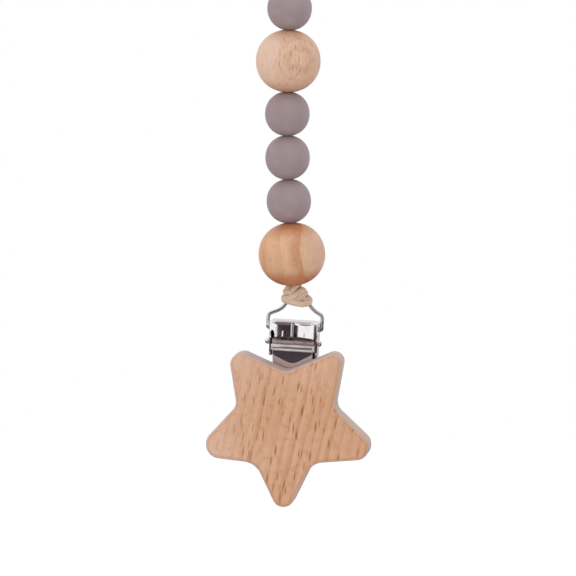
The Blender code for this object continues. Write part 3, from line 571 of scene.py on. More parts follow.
def braided(name, points, diameter, flat=1.0, middle=None):
    """A braided cord along points: strands stand out in diamonds; flat is its thickness as a share.

    Its flat side looks back, or away from the middle of what it goes round.
    """
    route, spacing = even_route(smooth_route(points, 8), BRAID_PITCH / ROWS_PER_PITCH)
    form = bmesh.new()
    layer = form.loops.layers.uv.new("braid")
    rows = []
    for index, (place, ahead) in enumerate(zip(route, ways_along(route))):
        away = place - middle(place) if middle else Vector((0, 1, 0))
        away = (away - ahead * away.dot(ahead)).normalized()
        aside = ahead.cross(away)
        row = []
        for step in range(BRAID_SIDES):
            around = step / BRAID_SIDES
            strand = index * spacing / BRAID_PITCH
            crossing = 1.0
            for way in (1, -1):
                crossing *= sin(pi * ((around * BRAID_STRANDS + way * strand) % 1.0))
            reach = diameter / 2 * (1 - BRAID_RELIEF + 2 * BRAID_RELIEF * crossing ** BRAID_SWELL)
            angle = 2 * pi * around
            row.append(form.verts.new(place + away * (reach * flat * cos(angle))
                                      + aside * (reach * sin(angle) / sqrt(flat))))
        rows.append(row)
    for index, (first, second) in enumerate(zip(rows, rows[1:])):
        for step, face in enumerate(bridge(form, first, second)):
            for loop, (row, side) in zip(face.loops, ((0, 0), (0, 1), (1, 1), (1, 0))):
                loop[layer].uv = ((index + row) * spacing / MM, (step + side) / BRAID_SIDES)
    form.faces.new(rows[0][::-1])
    form.faces.new(rows[-1])
    return mesh_from(form, name, 80), route


BEECH_GRAIN = make_beech_grain()
METAL_WEAR = make_metal_wear()
MOULDED_SKIN = make_moulded_skin()

SILICONE = moulded("silicone", ((0.36, 0.275, 0.282), (0.40, 0.31, 0.318)), ((0.32, 0.245, 0.25), 0.25),
                   ((0.62, 0.58, 0.58), 0.5), (0.56, 0.68), 0.25, 0.02, Specular_IOR_Level=0.35,
                   Sheen_Weight=0.12, Sheen_Roughness=0.4)
CORD = cord_material()
# Painted light and shade: darker ends and underside, paler left side, darker right side
PALE_BEECH = beech("pale_beech", (0.84, 0.575, 0.43), (0.66, 0.385, 0.225), (0.42, 0.21, 0.09),
                   (30.0, 0.0, 0.0), (8, 0, 55), 1.5, 2.6, 0.42, 0.4, 0.5, 0.95, 3.0, 0.30,
                   (2, 0.55, 1.0, (0.62, 0.33, 0.18), 0.5),
                   [(0, 1.0, 8.0, (0.70, 0.42, 0.28), 0.35), (0, -0.5, -3.0, (0.85, 0.59, 0.455), 0.7),
                    (2, -3.5, -8.0, (0.62, 0.31, 0.16), 0.45)])
# Painted light and shade: darker ends, a much darker underside, paler right side, more orange left side
WARM_BEECH = beech("warm_beech", (0.84, 0.53, 0.335), (0.58, 0.27, 0.12), (0.44, 0.17, 0.07),
                   (61.5, 0.0, 0.0), (0, 3, 4), 4.8, 2.6, 0.38, 0.45, 0.75, 0.35, 1.6, 0.25,
                   (2, 0.45, 0.95, (0.56, 0.19, 0.07), 0.8),
                   [(0, 2.5, 8.0, (0.80, 0.55, 0.43), 0.4), (0, -1.0, -8.0, (0.78, 0.37, 0.16), 0.4),
                    (2, -2.5, -8.0, (0.46, 0.13, 0.045), 0.7)])
# Painted light: a pale grey highlight round the rounded rim, paler left and top, darker right side
STAR_BEECH = beech("star_beech", (0.79, 0.475, 0.305), (0.59, 0.295, 0.145), (0.36, 0.145, 0.05),
                   (90.0, 70.0, 0.0), (2, -11, 0), 2.1, 2.4, 0.5, 0.3, 0.75, 1.0, 4.6, 0.14,
                   (1, 0.90, 0.60, (0.55, 0.445, 0.425), 0.75),
                   [(0, -2.0, -24.0, (0.86, 0.585, 0.44), 0.6), (2, 4.0, 22.0, (0.82, 0.56, 0.43), 0.4),
                    (0, 5.0, 24.0, (0.66, 0.355, 0.20), 0.4)])
CHROME = metal("chrome", (0.90, 0.885, 0.89), (0.74, 0.72, 0.73), 0.03, wave=0.08)
# Painted shade: a darker copy of the chrome for the bail's wire
CHROME_WIRE_PAINTED_SHADE = metal("chrome_wire_painted_shade", (0.68, 0.66, 0.67), (0.50, 0.48, 0.49), 0.04)
# Painted reflection: a rougher, warm-tinted copy of the chrome for the barrel, standing in for the beech
# star mirrored in it
CHROME_ROUGH_PAINTED_WARM_REFLECTION = metal("chrome_rough_painted_warm_reflection", (0.90, 0.77, 0.74), (0.62, 0.53, 0.50), 0.30)
CHROME_RUBBED = metal("chrome_rubbed", (0.93, 0.90, 0.91), (0.84, 0.80, 0.81), 0.38)
# Painted shade: a near-black copy of the chrome for the box's inside faces
CHROME_INSIDE_PAINTED_SHADE = metal("chrome_inside_painted_shade", (0.11, 0.10, 0.10), (0.07, 0.06, 0.06), 0.35)
SPRING_STEEL = metal("spring_steel", (0.30, 0.29, 0.29), (0.20, 0.19, 0.18), 0.25)
SCREW_STEEL = metal("screw_steel", (0.55, 0.53, 0.50), (0.40, 0.36, 0.31), 0.2)
PAD_PLASTIC = moulded("pad_plastic", ((0.80, 0.80, 0.77), (0.72, 0.72, 0.69)), None,
                      ((0.45, 0.43, 0.40), 0.6), (0.3, 0.45), 0.2, 0.01, 0.1)

# Cord

loop_route_shares = (
    (0.34, 0.28), (0.58, 0.48), (0.84, 0.67), (1.0, 0.83), (0.90, 0.94), (0.50, 0.99), (0.0, 1.0),
)


def mirrored(half):
    """A route and its mirror image in X, joined at its last point, which is on the middle."""
    return [*half, *[Vector((-p.x, p.y, p.z)) for p in reversed(half[:-1])]]


def make_end_loop():
    """The free loop that the strand hangs by, from one leg to the other."""
    half_width = (LOOP_WIDTH - CORD_DIAMETER) / 2
    leg = LOOP_LEG_SPACING / 2
    rise = LOOP_LENGTH + CORD_DIAMETER / 2
    legs = [Vector((leg, 0, -LOOP_LENGTH)), Vector((leg, 0, 2 * CORD_DIAMETER - LOOP_LENGTH))]
    bow = [Vector((across * half_width, 0, up * rise - LOOP_LENGTH)) for across, up in loop_route_shares]
    mesh, route = braided("end_loop_cord", mirrored([*legs, *bow]), CORD_DIAMETER)
    made = put("end_loop_cord", mesh, CORD, "hanging_loop", "cord", "end_loop")


make_end_loop()

RUN_LEANS = (-1.5, -1.5, -0.3, 1.0, 2.3, 4.0)

for run, lean in enumerate(RUN_LEANS, 1):
    low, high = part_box(f"cord_run_{run}")
    turn = radians(lean)
    middle = (low + high) / 2
    half = (high.z - low.z) / 2 * Vector((-sin(turn), 0, cos(turn)))
    mesh, _ = braided(f"strand_cord_{run}", [middle + half, middle, middle - half], CORD_DIAMETER)
    put(f"strand_cord_{run}", mesh, CORD, f"strand_{run}", "cord", f"cord_run_{run}")

# Beads

CORD_FIT = 0.0003
BEAD_RIM = 0.00012
BEAD_FULLNESS = 2.08
BEAD_STEPS = 64
# A bead's half: how tall its round would be, as a share of its radius, and where it is flat instead
SILICONE_END = (1.0, 0.005998)
LAST_SILICONE_END = (1.0, 0.006012)
KNOTTED_SILICONE_END = (0.968, 0.0059)
UPPER_BEECH_END = (0.9685, 0.008457)
LOWER_BEECH_END = (0.9672, 0.008765)
KNOTTED_BEECH_END = (0.940, 0.0086)
BEADS = (
    ("silicone_bead_1", "silicone", (KNOTTED_SILICONE_END, SILICONE_END), (-0.0001568, 0, -0.0463146)),
    ("beech_bead_upper", "pale_beech", (UPPER_BEECH_END, UPPER_BEECH_END), (-0.000535, 0, -0.0607541)),
    ("silicone_bead_2", "silicone", (SILICONE_END, SILICONE_END), (-0.0007876, 0, -0.0751956)),
    ("silicone_bead_3", "silicone", (SILICONE_END, SILICONE_END), (-0.0007144, 0, -0.087178)),
    ("silicone_bead_4", "silicone", (LAST_SILICONE_END, LAST_SILICONE_END), (-0.0003694, 0, -0.0991556)),
    ("beech_bead_lower", "warm_beech", (LOWER_BEECH_END, KNOTTED_BEECH_END), (0.0004806, 0, -0.1138585)),
)
BEAD_KINDS = {"silicone": (0.0122, SILICONE), "pale_beech": (0.0177, PALE_BEECH),
              "warm_beech": (0.0183, WARM_BEECH)}


def bead_mesh(name, diameter, ends):
    """A bead with rounded rims to its bore, flat at the heights where its neighbours touch it."""
    reach = diameter / 2
    first = CORD_DIAMETER / 2 + CORD_FIT + BEAD_RIM

    def half(share, most):
        def height_at(radius):
            height = reach * share * (1 - (radius / reach) ** BEAD_FULLNESS) ** (1 / BEAD_FULLNESS)
            return min(most, height)

        rim = [(first - BEAD_RIM * cos(turn), height_at(first) - BEAD_RIM * (1 - sin(turn)))
               for turn in spread(0, pi / 2, 4)[:-1]]
        radii = [reach * sin(turn) for turn in spread(asin(first / reach), pi / 2, 36)[:-1]]
        return rim + [(radius, height_at(radius)) for radius in radii]

    above, below = (half(*end) for end in ends)
    lower = [(radius, -height) for radius, height in reversed(below)]
    return turned(name, [*above, (reach, 0.0), *lower], BEAD_STEPS)


for number, (name, slot, ends, place) in enumerate(BEADS, 1):
    diameter, finish = BEAD_KINDS[slot]
    put(f"{name}_turned", bead_mesh(name, diameter, ends), finish, f"bead_{number}", slot, name,
        place=place, turn=(0, -radians(RUN_LEANS[number - 1]), 0))

# Forms of the clip

PIN_DIAMETER = 0.0013
PIN_FIT = 0.00015
SHEET = 0.0006
SEAT_GAP = 0.00025
BODY_WIDTH = 0.0133
BODY_FRONT = 0.0043
BODY_BACK = 0.0041
BODY_TOP = 0.0058
BODY_CORNER = 0.0009
BODY_TOP_CORNER = 0.00045
BAIL_WIRE = 0.0011
BAIL_HOLE_UP = 0.0037
BAIL_HEIGHT = 0.0081
BAIL_BEND = 0.0006
BAIL_SLOPE = 0.019
BAIL_SHIFT = 0.0005
BAIL_BENT_FROM = 0.44
BAIL_BENT_OVER = 0.25
CLIP_TURN = (0, -radians(CLIP_LEAN), 0)
STAR_TURN = (0, -radians(CLIP_LEAN + STAR_LEAN), 0)
IN_CLIP = Matrix.Translation(CLIP_PLACE) @ Euler(CLIP_TURN).to_matrix().to_4x4()


def corner_arc(before, corner, after, radius, steps):
    """The arc that rounds a corner between its neighbours."""
    back = (before - corner).normalized()
    ahead = (after - corner).normalized()
    half_angle = back.angle(ahead) / 2
    centre = corner + (back + ahead).normalized() * radius / sin(half_angle)
    start = corner + back * radius / tan(half_angle) - centre
    end = corner + ahead * radius / tan(half_angle) - centre
    swing = -start.angle_signed(end)
    return [centre + Matrix.Rotation(swing * step / steps, 2) @ start for step in range(steps + 1)]


def rounded_outline(corners, radii, steps):
    """A closed outline whose corners are arcs of the given radii."""
    outline = []
    corners = [Vector(corner) for corner in corners]
    for index, corner in enumerate(corners):
        after = corners[(index + 1) % len(corners)]
        outline += corner_arc(corners[index - 1], corner, after, radii[index], steps)
    return outline


def plump_slab(name, outline, thickness, edge, edge_steps=8, collar=0.0004):
    """A flat outline in X and Z made thick along Y, its edges rounded over on both sides."""
    outward = []
    for before, after in zip([outline[-1], *outline], [*outline[1:], outline[0]]):
        along = after - before
        outward.append(Vector((along.y, -along.x)).normalized())
    rows = [(edge + collar, -thickness / 2)]
    for turn in spread(0, pi / 2, edge_steps):
        rows.append((edge * (1 - sin(turn)), edge * (1 - cos(turn)) - thickness / 2))
    rows += [(inset, -depth) for inset, depth in reversed(rows)]
    form = bmesh.new()
    rings = []
    for inset, depth in rows:
        spots = [spot - way * inset for spot, way in zip(outline, outward)]
        rings.append([form.verts.new((spot.x, depth, spot.y)) for spot in spots])
    for first, second in zip(rings, rings[1:]):
        bridge(form, first, second)
    form.faces.new(rings[0][::-1])
    form.faces.new(rings[-1])
    return mesh_from(form, name)


# The star

STAR_PLACE = Vector((-0.0001582, -0.00695, -0.1588803))
STAR_THICKNESS = 0.0080
STAR_EDGE_RADIUS = 0.0011
# The star's corners from the notch on, to its right and round: (x, height, radius) in mm
STAR_CORNERS = (
    (0.0, 13.7, 4.2), (16.3, 20.95, 2.7), (13.5, 4.2, 3.6), (28.05, -9.25, 3.7), (7.6, -11.2, 4.8),
    (-0.3, -27.5, 3.1), (-8.1, -11.6, 5.6), (-26.0, -9.75, 3.9), (-13.4, 4.2, 3.4), (-16.25, 20.8, 3.2),
)

star_outline = rounded_outline([(x * MM, height * MM) for x, height, _ in STAR_CORNERS],
                               [radius * MM for _, _, radius in STAR_CORNERS], 28)[::-1]
put("beech_star", plump_slab("beech_star", star_outline, STAR_THICKNESS, STAR_EDGE_RADIUS), STAR_BEECH,
    "lever", "star_beech", "wooden_star", place=STAR_PLACE, turn=STAR_TURN)

# The sprung clip

EAR_DROP = 0.0039
EAR_FRONT = 0.0017
EAR_CORNER = 0.0012
APRON_EDGE = 0.0012
APRON_RISE = 0.0007
JAW_DROP = 0.0220
JAW_TAPER = 0.0008
JAW_CORNER = 0.0022
JAW_LIP = 0.0017
CROWN = 0.00008
PANEL_SLOPE = 0.045
ROOF_RISE = 0.00034
ROOF_RISE_FROM = 0.002
ROOF_SHOULDER = 0.0047
SEAM = 0.0004
RIDGE = -0.00025
RIDGE_HALF_WIDTH = 0.00018
RIDGE_HEIGHT = 0.00012
ARCHES = (-0.0022, 0.0038)
ARCH_HALF_WIDTH = 0.00062
ARCH_TOP = 0.0029
ARCH_HEIGHT = 0.0000145
ARCH_SLOPE = 0.0003
BOSS_RADIUS = 0.0013
BOSS_HEIGHT = 0.0002
RIB_SPACING = 0.0052
RIB_WIDTH = 0.0011
RIB_LENGTH = 0.0110
RIB_MIDDLE = -0.0125
RIB_HEIGHT = 0.0003
WALL_ROWS = 30
CORNER_STEPS = 6
INNER_CORNER = 0.1 * MM
RELIEF_FADE = 0.6 * MM
EAR_STEP = 0.02 * MM
# A wall is flat where its way out points as straight as this
STRAIGHT = 0.999


def eased(value):
    """0 to 1 with a soft start and end."""
    held = min(1.0, max(0.0, value))
    return held * held * (3 - 2 * held)


def body_columns():
    """The box's outline, right half, from the front's middle to the back's: (x, y, way out)."""
    flat = BODY_WIDTH / 2 - BODY_CORNER
    front, back = BODY_CORNER - BODY_FRONT, BODY_BACK - BODY_CORNER
    columns = [(x, -BODY_FRONT, Vector((0, -1))) for x in spread(0, flat, 56)]
    for middle, first in ((front, -90), (back, 0)):
        if first == 0:
            sides = [*spread(front, -EAR_FRONT, 6)[1:], -EAR_FRONT + EAR_STEP,
                     *spread(-EAR_FRONT, EAR_CORNER - EAR_FRONT, 8)[1:],
                     *spread(EAR_CORNER - EAR_FRONT, back, 14)[1:-1]]
            columns += [(BODY_WIDTH / 2, y, Vector((1, 0))) for y in sides]
        for angle in spread(first, first + 90, CORNER_STEPS)[0 if first == 0 else 1:]:
            way = Vector((cos(radians(angle)), sin(radians(angle))))
            columns.append((flat + BODY_CORNER * way.x, middle + BODY_CORNER * way.y, way))
    return columns + [(x, BODY_BACK, Vector((0, 1))) for x in spread(flat, 0, 24)[1:]]


def column_end(x, y, way):
    """How far down a column of the box's wall runs."""
    jaw_half = BODY_WIDTH / 2 - BODY_CORNER - JAW_TAPER
    if way.y > STRAIGHT:
        past = max(0.0, x - (jaw_half - JAW_CORNER) - JAW_TAPER * x / jaw_half)
        past = min(past, JAW_CORNER)
        return -JAW_DROP + JAW_CORNER - sqrt(JAW_CORNER ** 2 - past ** 2)
    if y > -EAR_FRONT + EAR_STEP / 2:
        past = max(0.0, EAR_CORNER - (y + EAR_FRONT))
        return -EAR_DROP + EAR_CORNER - sqrt(EAR_CORNER ** 2 - past ** 2)
    return APRON_EDGE + APRON_RISE * (1 - min(1.0, 2 * x / BODY_WIDTH) ** 2)


def pressed_out(x, y, height, way):
    """How far the press pushed the sheet out: crowned panels, ridge, arches, bosses, back ribs."""
    if way.y < -STRAIGHT:
        half_panel = (BODY_WIDTH / 2 + (SEAM if x < SEAM else -SEAM)) / 2
        across = abs(x - SEAM)
        panel = CROWN * max(0.0, 1 - ((across - half_panel) / half_panel) ** 2)
        ridge = RIDGE_HEIGHT * eased(2 - 2 * abs(x - RIDGE) / RIDGE_HALF_WIDTH)
        arch = 0.0
        for middle in ARCHES:
            edge = abs(x - middle) if height < ARCH_TOP else hypot(x - middle, height - ARCH_TOP)
            arch = max(arch, ARCH_HEIGHT * eased(0.5 + (ARCH_HALF_WIDTH - edge) / (2 * ARCH_SLOPE)))
        return panel + ridge + arch
    if way.y > STRAIGHT:
        across = (abs(x) - RIB_SPACING / 2) / (RIB_WIDTH / 2)
        along = (height - RIB_MIDDLE) / (RIB_LENGTH / 2)
        return RIB_HEIGHT * eased(1.6 * (1 - sqrt(across ** 2 + along ** 4)))
    if abs(way.x) > STRAIGHT:
        return BOSS_HEIGHT * eased(1.5 - 1.5 * hypot(y, height - BAIL_HOLE_UP) / BOSS_RADIUS)
    return 0.0


def leaned(across, deep, height):
    """A spot of the box moved as its panels lean back from the seam and its roof rises to the front."""
    share = eased((height - ROOF_RISE_FROM) / (BODY_TOP - ROOF_RISE_FROM))
    share *= 1 - eased((abs(across) - ROOF_SHOULDER) / (BODY_WIDTH / 2 - BODY_TOP_CORNER - ROOF_SHOULDER))
    rise = ROOF_RISE * share * (BODY_BACK - deep) / (BODY_BACK + BODY_FRONT)
    return across, deep + PANEL_SLOPE * abs(across - SEAM) * max(0.0, -deep / BODY_FRONT), height + rise


def wall_strip(column, sheet):
    """One column of the box from its roof down: outside, with what was pressed, or a sheet further in."""
    x, y, way = column
    jaw_half = BODY_WIDTH / 2 - BODY_CORNER
    shoulder = BODY_TOP - BODY_TOP_CORNER
    corner = INNER_CORNER if sheet else BODY_TOP_CORNER
    spots = []
    for turn in spread(0, pi / 2, CORNER_STEPS):
        inset = sheet + corner * (1 - sin(turn))
        top = BODY_TOP - sheet - corner * (1 - cos(turn))
        spots.append((x - way.x * inset, y - way.y * inset, top))
    for height in spread(spots[-1][2], column_end(abs(x), y, way), WALL_ROWS)[1:]:
        out = -sheet
        if not sheet:
            out += pressed_out(x, y, height, way) * eased((shoulder - height) / RELIEF_FADE)
        narrowed = 1.0
        if way.y > STRAIGHT and height < -EAR_DROP:
            narrowed = 1 - JAW_TAPER / jaw_half * (-EAR_DROP - height) / (JAW_DROP - EAR_DROP)
        spots.append(((x + way.x * out) * narrowed, y + way.y * out, height))
    return [leaned(*spot) for spot in spots]


def body_shell():
    """The stamped body as sheet: roof, rounded top edge, walls of several lengths."""
    form = bmesh.new()
    half = body_columns()
    columns = [*half, *[(-x, y, Vector((-way.x, way.y))) for x, y, way in reversed(half[1:-1])]]
    outside, inside = ([[form.verts.new(spot) for spot in wall_strip(column, sheet)]
                        for column in columns] for sheet in (0.0, SHEET))
    for strips in (outside, inside):
        for strip, after in zip(strips, strips[1:] + strips[:1]):
            bridge(form, strip, after, False)
        form.faces.new([strip[0] for strip in strips])
    bridge(form, [strip[-1] for strip in inside], [strip[-1] for strip in outside])
    return mesh_from(form, "stamped_body", 60)


def hull(points):
    """The solid that points span."""
    form = bmesh.new()
    made = bmesh.ops.convex_hull(form, input=[form.verts.new(point) for point in points])
    inside = {item for item in made["geom_interior"] if isinstance(item, bmesh.types.BMVert)}
    bmesh.ops.delete(form, geom=list(inside), context="VERTS")
    return mesh_from(form, "hull")


def notch(circles):
    """A cut through the front wall that spans circles of (x, height, radius) in mm."""
    circles = [(x * MM, height * MM, radius * MM) for x, height, radius in circles]
    return hull([(x + radius * cos(turn), y, height + radius * sin(turn))
                 for x, height, radius in circles for turn in round_angles(20) for y in NOTCH_DEPTHS])


def rod(radius, start, end, axis, across=(0, 0)):
    """A round bar along X or Y from start to end."""
    mesh = turned("rod", [(0, end), (radius, end), (radius, start), (0, start)], 40, False)
    turn = Matrix.Rotation(pi / 2, 4, "Y") if axis == "X" else Matrix.Rotation(-pi / 2, 4, "X")
    shift = (0, *across) if axis == "X" else (across[0], 0, across[1])
    mesh.transform(Matrix.Translation(shift) @ turn)
    return mesh


def block(low, high, edge):
    """A box between two corners, its edges rounded."""
    form = bmesh.new()
    bmesh.ops.create_cube(form, size=1.0)
    size = Vector(high) - Vector(low)
    shape = Matrix.Translation((Vector(high) + Vector(low)) / 2) @ Matrix.Diagonal((*size, 1.0))
    bmesh.ops.transform(form, matrix=shape, verts=form.verts)
    bmesh.ops.bevel(form, geom=form.edges, offset=edge, segments=3, profile=0.5, affect="EDGES",
                    clamp_overlap=True)
    return mesh_from(form, "block")


def round_edges(piece, width, angle):
    """Rounds the edges of a piece that are sharper than an angle, in degrees."""
    rounding = piece.modifiers.new("rounded", "BEVEL")
    rounding.width = width
    rounding.segments = 2
    rounding.limit_method = "ANGLE"
    rounding.angle_limit = radians(angle)


def worked(name, mesh, joins, cuts, edge=0.0):
    """A mesh with its edges rounded, with solids joined to it and others cut out."""
    stock = shown(name, mesh)
    if edge:
        round_edges(stock, edge, 50)
    tools = []
    for operation, solids in (("UNION", joins), ("DIFFERENCE", cuts)):
        for solid in solids:
            tools.append(shown("tool", solid))
            step = stock.modifiers.new(operation.lower(), "BOOLEAN")
            step.object = tools[-1]
            step.operation = operation
            step.solver = "EXACT"
    bpy.context.view_layer.update()
    made = bpy.data.meshes.new_from_object(stock.evaluated_get(bpy.context.evaluated_depsgraph_get()))
    made.name = name
    for old in (stock, *tools):
        bpy.data.objects.remove(old, do_unlink=True)
    return smooth(made, 35)


def even_light(piece):
    """Keeps flat faces flat to the light beside rounded edges."""
    step = piece.modifiers.new("even_light", "WEIGHTED_NORMAL")
    step.keep_sharp = True
    step.weight = 80


def finish_part(piece, finish, low, high):
    """Gives the faces whose middles lie between two corners another finish."""
    piece.data.materials.append(finish)
    for face in piece.data.polygons:
        if all(least < side < most for least, side, most in zip(low, face.center, high)):
            face.material_index = len(piece.data.materials) - 1


# The seam's slot and the holes on its left and right, each as circles of (x, height, radius) in mm
NOTCHES = (
    ((0.63, 3.5, 0.1), (0.63, 1.0, 0.42), (0.63, 0.2, 0.42)),
    ((-5.7, 3.1, 0.42), (-5.68, 2.2, 0.72), (-5.6, 0.8, 0.55)),
    ((6.3, 3.1, 0.25), (6.3, 2.2, 0.34), (6.2, 0.8, 0.3)),
)
PAST = 2 * MM
NOTCH_DEPTHS = (-BODY_FRONT - PAST, -BODY_FRONT + 1.3 * MM)
BAIL_FIT = 0.3 * MM
LIP_BOTTOM = 0.12 * MM - JAW_DROP
LIP_TOP = 0.72 * MM - JAW_DROP


def make_body():
    """The stamped body: sheet, relief notches beside the apron, seam slot, holes for pin and bail."""
    half = BODY_WIDTH / 2
    cuts = [*map(notch, NOTCHES), rod(PIN_DIAMETER / 2 + PIN_FIT, -half - PAST, half + PAST, "X"),
            rod(BAIL_WIRE / 2 + BAIL_FIT, -half - PAST, half + PAST, "X", (0, BAIL_HOLE_UP))]
    lip_half = half - BODY_CORNER - JAW_TAPER - JAW_CORNER
    wall = BODY_BACK - SHEET / 2
    lip = block((-lip_half, wall - JAW_LIP, LIP_BOTTOM), (lip_half, wall, LIP_TOP), 0.15 * MM)
    mesh = worked("stamped_body", body_shell(), [lip], cuts, 0.07 * MM)
    piece = put("stamped_body", mesh, CHROME, "clip", "chrome", "clip_body",
                place=CLIP_PLACE, turn=CLIP_TURN)
    # Painted shade: the box's inside faces take the near-black chrome
    wall = 0.95 * SHEET
    finish_part(piece, CHROME_INSIDE_PAINTED_SHADE, (wall - half, wall - BODY_FRONT, -JAW_DROP),
                (half - wall, BODY_BACK - wall, BODY_TOP - wall))
    even_light(piece)


make_body()

LEVER_WIDTH = 0.0116
BARREL_RADIUS = 0.0019
CAM_RADIUS = 0.00235
LEDGE_WIDTH = 0.0120
LEDGE_FRONT = 0.00305
LEDGE_TOP = -0.0005
LEDGE_HEIGHT = 0.0017
LEDGE_SLOPE = 0.00027
LEDGE_LINE = 0.00052
GROOVE_TOP = 0.00062
GROOVE_HEIGHT = 0.00050
GROOVE_MARGIN = 0.0007
LEVER_PLATE_FRONT = 0.0027
LEVER_DROP = 0.0195
LEVER_TAPER = 0.0008
LEVER_CORNER = 0.0025
PLATE_BEND = 0.0064
PLATE_LEAN = 0.06
PLATE_LEAN_OVER = 0.00415
PLATE_INSET = 0.2 * MM
LEVER_EDGE = 0.12 * MM
SCREW_DROPS = (0.0105, 0.0165)
SCREW_HOLE = 0.9 * MM


def across_the_clip(mesh):
    """Turns a slab made along Y so that it runs along X, its outline seen from the side."""
    mesh.transform(Matrix.Rotation(pi / 2, 4, "Z"))
    return mesh


def rounded_bar(outline, length, edge):
    """A bar along Y with a convex outline in X and Z, its ends rounded over."""
    middle = sum(outline, Vector((0, 0))) / len(outline)
    points = []
    for turn in spread(0, pi / 2, 4):
        reach = length / 2 - edge * (1 - sin(turn))
        for spot in outline:
            held = middle + (spot - middle) * (1 - edge * (1 - cos(turn)) / (spot - middle).length)
            points += [(held.x, reach, held.y), (held.x, -reach, held.y)]
    return hull(points)


def lean_plate(plate):
    """Leans the lever's plate a little forwards from the bend near the star's notch up to the ledge."""
    form = bmesh.new()
    form.from_mesh(plate)
    for height in (-PLATE_BEND, PLATE_LEAN_OVER - PLATE_BEND):
        bmesh.ops.bisect_plane(form, geom=form.verts[:] + form.edges[:] + form.faces[:],
                               plane_co=(0, 0, height), plane_no=(0, 0, 1))
    for corner in form.verts:
        corner.co.y -= min(max(0.0, corner.co.z + PLATE_BEND), PLATE_LEAN_OVER) * PLATE_LEAN
    form.to_mesh(plate)
    form.free()


def make_lever():
    """The lever: barrel and cam, a ledge with a rolled groove, and the plate behind the star."""
    half = LEVER_WIDTH / 2
    cam = []
    for angle in round_angles(72):
        radius = BARREL_RADIUS + (CAM_RADIUS - BARREL_RADIUS) * max(0.0, cos(angle)) ** 6
        cam.append(Vector((radius * cos(angle), radius * sin(angle))))
    barrel = across_the_clip(plump_slab("lever", cam, LEVER_WIDTH, LEVER_EDGE, 3, 0.1 * MM))
    low = LEDGE_TOP - LEDGE_HEIGHT
    corners = [(LEDGE_SLOPE - LEDGE_FRONT, LEDGE_TOP), (-BARREL_RADIUS / 2, LEDGE_TOP),
               (-BARREL_RADIUS / 2, low), (-LEDGE_FRONT, low), (-LEDGE_FRONT, LEDGE_TOP - LEDGE_LINE)]
    radii = [radius * MM for radius in (0.05, 0.1, 0.1, 0.12, 0.05)]
    ledge = across_the_clip(rounded_bar(rounded_outline(corners, radii, 4), LEDGE_WIDTH, 0.15 * MM))
    side = half - PLATE_INSET
    end = side - LEVER_TAPER
    top = LEDGE_TOP - LEDGE_HEIGHT / 2
    corners = ((-side, top), (side, top), (end, -LEVER_DROP), (-end, -LEVER_DROP))
    outline = rounded_outline(corners, [0.3 * MM, 0.3 * MM, LEVER_CORNER, LEVER_CORNER], 8)[::-1]
    plate = plump_slab("plate", outline, SHEET, LEVER_EDGE, 3, 0.1 * MM)
    plate.transform(Matrix.Translation((0, SHEET / 2 - LEVER_PLATE_FRONT, 0)))
    lean_plate(plate)
    reach = LEDGE_WIDTH / 2 - GROOVE_MARGIN
    top = LEDGE_TOP - GROOVE_TOP
    depths = ((0.3 * MM - LEDGE_FRONT, 0.0), (-LEDGE_FRONT - 0.1 * MM, 0.58 * MM))
    groove = hull([(x, y, z) for y, grown in depths for x in (-reach - grown, reach + grown)
                   for z in (top, top - GROOVE_HEIGHT - grown)])
    bore = rod(PIN_DIAMETER / 2 + PIN_FIT, -half - MM, half + MM, "X")
    holes = [rod(SCREW_HOLE, -LEVER_PLATE_FRONT - MM, SHEET - LEVER_PLATE_FRONT + MM, "Y", (0, -drop))
             for drop in SCREW_DROPS]
    mesh = worked("lever", barrel, [ledge, plate], [groove, bore, *holes])
    piece = put("rolled_lever", mesh, CHROME, "lever", "chrome", "lever_plate",
                place=CLIP_PLACE, turn=CLIP_TURN)
    # Painted reflection: the barrel takes the warm-tinted chrome
    finish_part(piece, CHROME_ROUGH_PAINTED_WARM_REFLECTION, (-LEDGE_WIDTH, -2 * LEDGE_FRONT, LEDGE_TOP - 0.05 * MM),
                (LEDGE_WIDTH, BARREL_RADIUS, CAM_RADIUS))
    finish_part(piece, CHROME_RUBBED, (-LEDGE_WIDTH, -2 * LEDGE_FRONT, low - 0.05 * MM),
                (LEDGE_WIDTH, 0.24 * MM - LEDGE_FRONT, LEDGE_TOP + 0.05 * MM))
    even_light(piece)


make_lever()

head_profile_shares = (
    (0.0, 1.0), (0.28, 0.975), (0.52, 0.90), (0.72, 0.77), (0.87, 0.58), (0.97, 0.33), (1.0, 0.12),
    (0.97, 0.0),
)
PIN_HEAD = 0.9 * MM
DOME_RISE = 1.2 * MM
PEENED_RISE = 0.8 * MM


def make_pin():
    """The hinge pin: a domed head on the left, a smaller peened one on the right."""
    shoulder = BODY_WIDTH / 2 + SEAT_GAP
    right = [(share * PIN_HEAD, shoulder + rise * PEENED_RISE) for share, rise in head_profile_shares]
    left = [(share * PIN_HEAD, -shoulder - rise * DOME_RISE) for share, rise in head_profile_shares]
    shank = PIN_DIAMETER / 2
    profile = [*right, (shank, shoulder), (shank, -shoulder), *reversed(left)]
    mesh = turned("hinge_pin", profile, 32, False, 60)
    put("riveted_pin", mesh, CHROME, "clip", "chrome", "hinge_pin", place=CLIP_PLACE,
        turn=(0, pi / 2 - radians(CLIP_LEAN), 0))


make_pin()

bail_arm_shares = (
    (1.0, 0.20), (0.998, 0.38), (0.957, 0.485), (0.84, 0.55), (0.69, 0.62),
    (0.56, 0.71), (0.47, 0.81), (0.38, 0.91), (0.27, 0.97), (0.13, 0.995), (0.0, 1.0),
)


def wire(name, route, diameter):
    """A round wire along a route in the plane of X and Z."""
    form = bmesh.new()
    back = Vector((0, 1, 0))
    rings = []
    for place, ahead in zip(route, ways_along(route)):
        aside = ahead.cross(back).normalized()
        rings.append([form.verts.new(place + diameter / 2 * (aside * cos(angle) + back * sin(angle)))
                      for angle in round_angles(20)])
    for first, second in zip(rings, rings[1:]):
        bridge(form, first, second)
    form.faces.new(rings[0])
    form.faces.new(rings[-1])
    return mesh_from(form, name, 60)


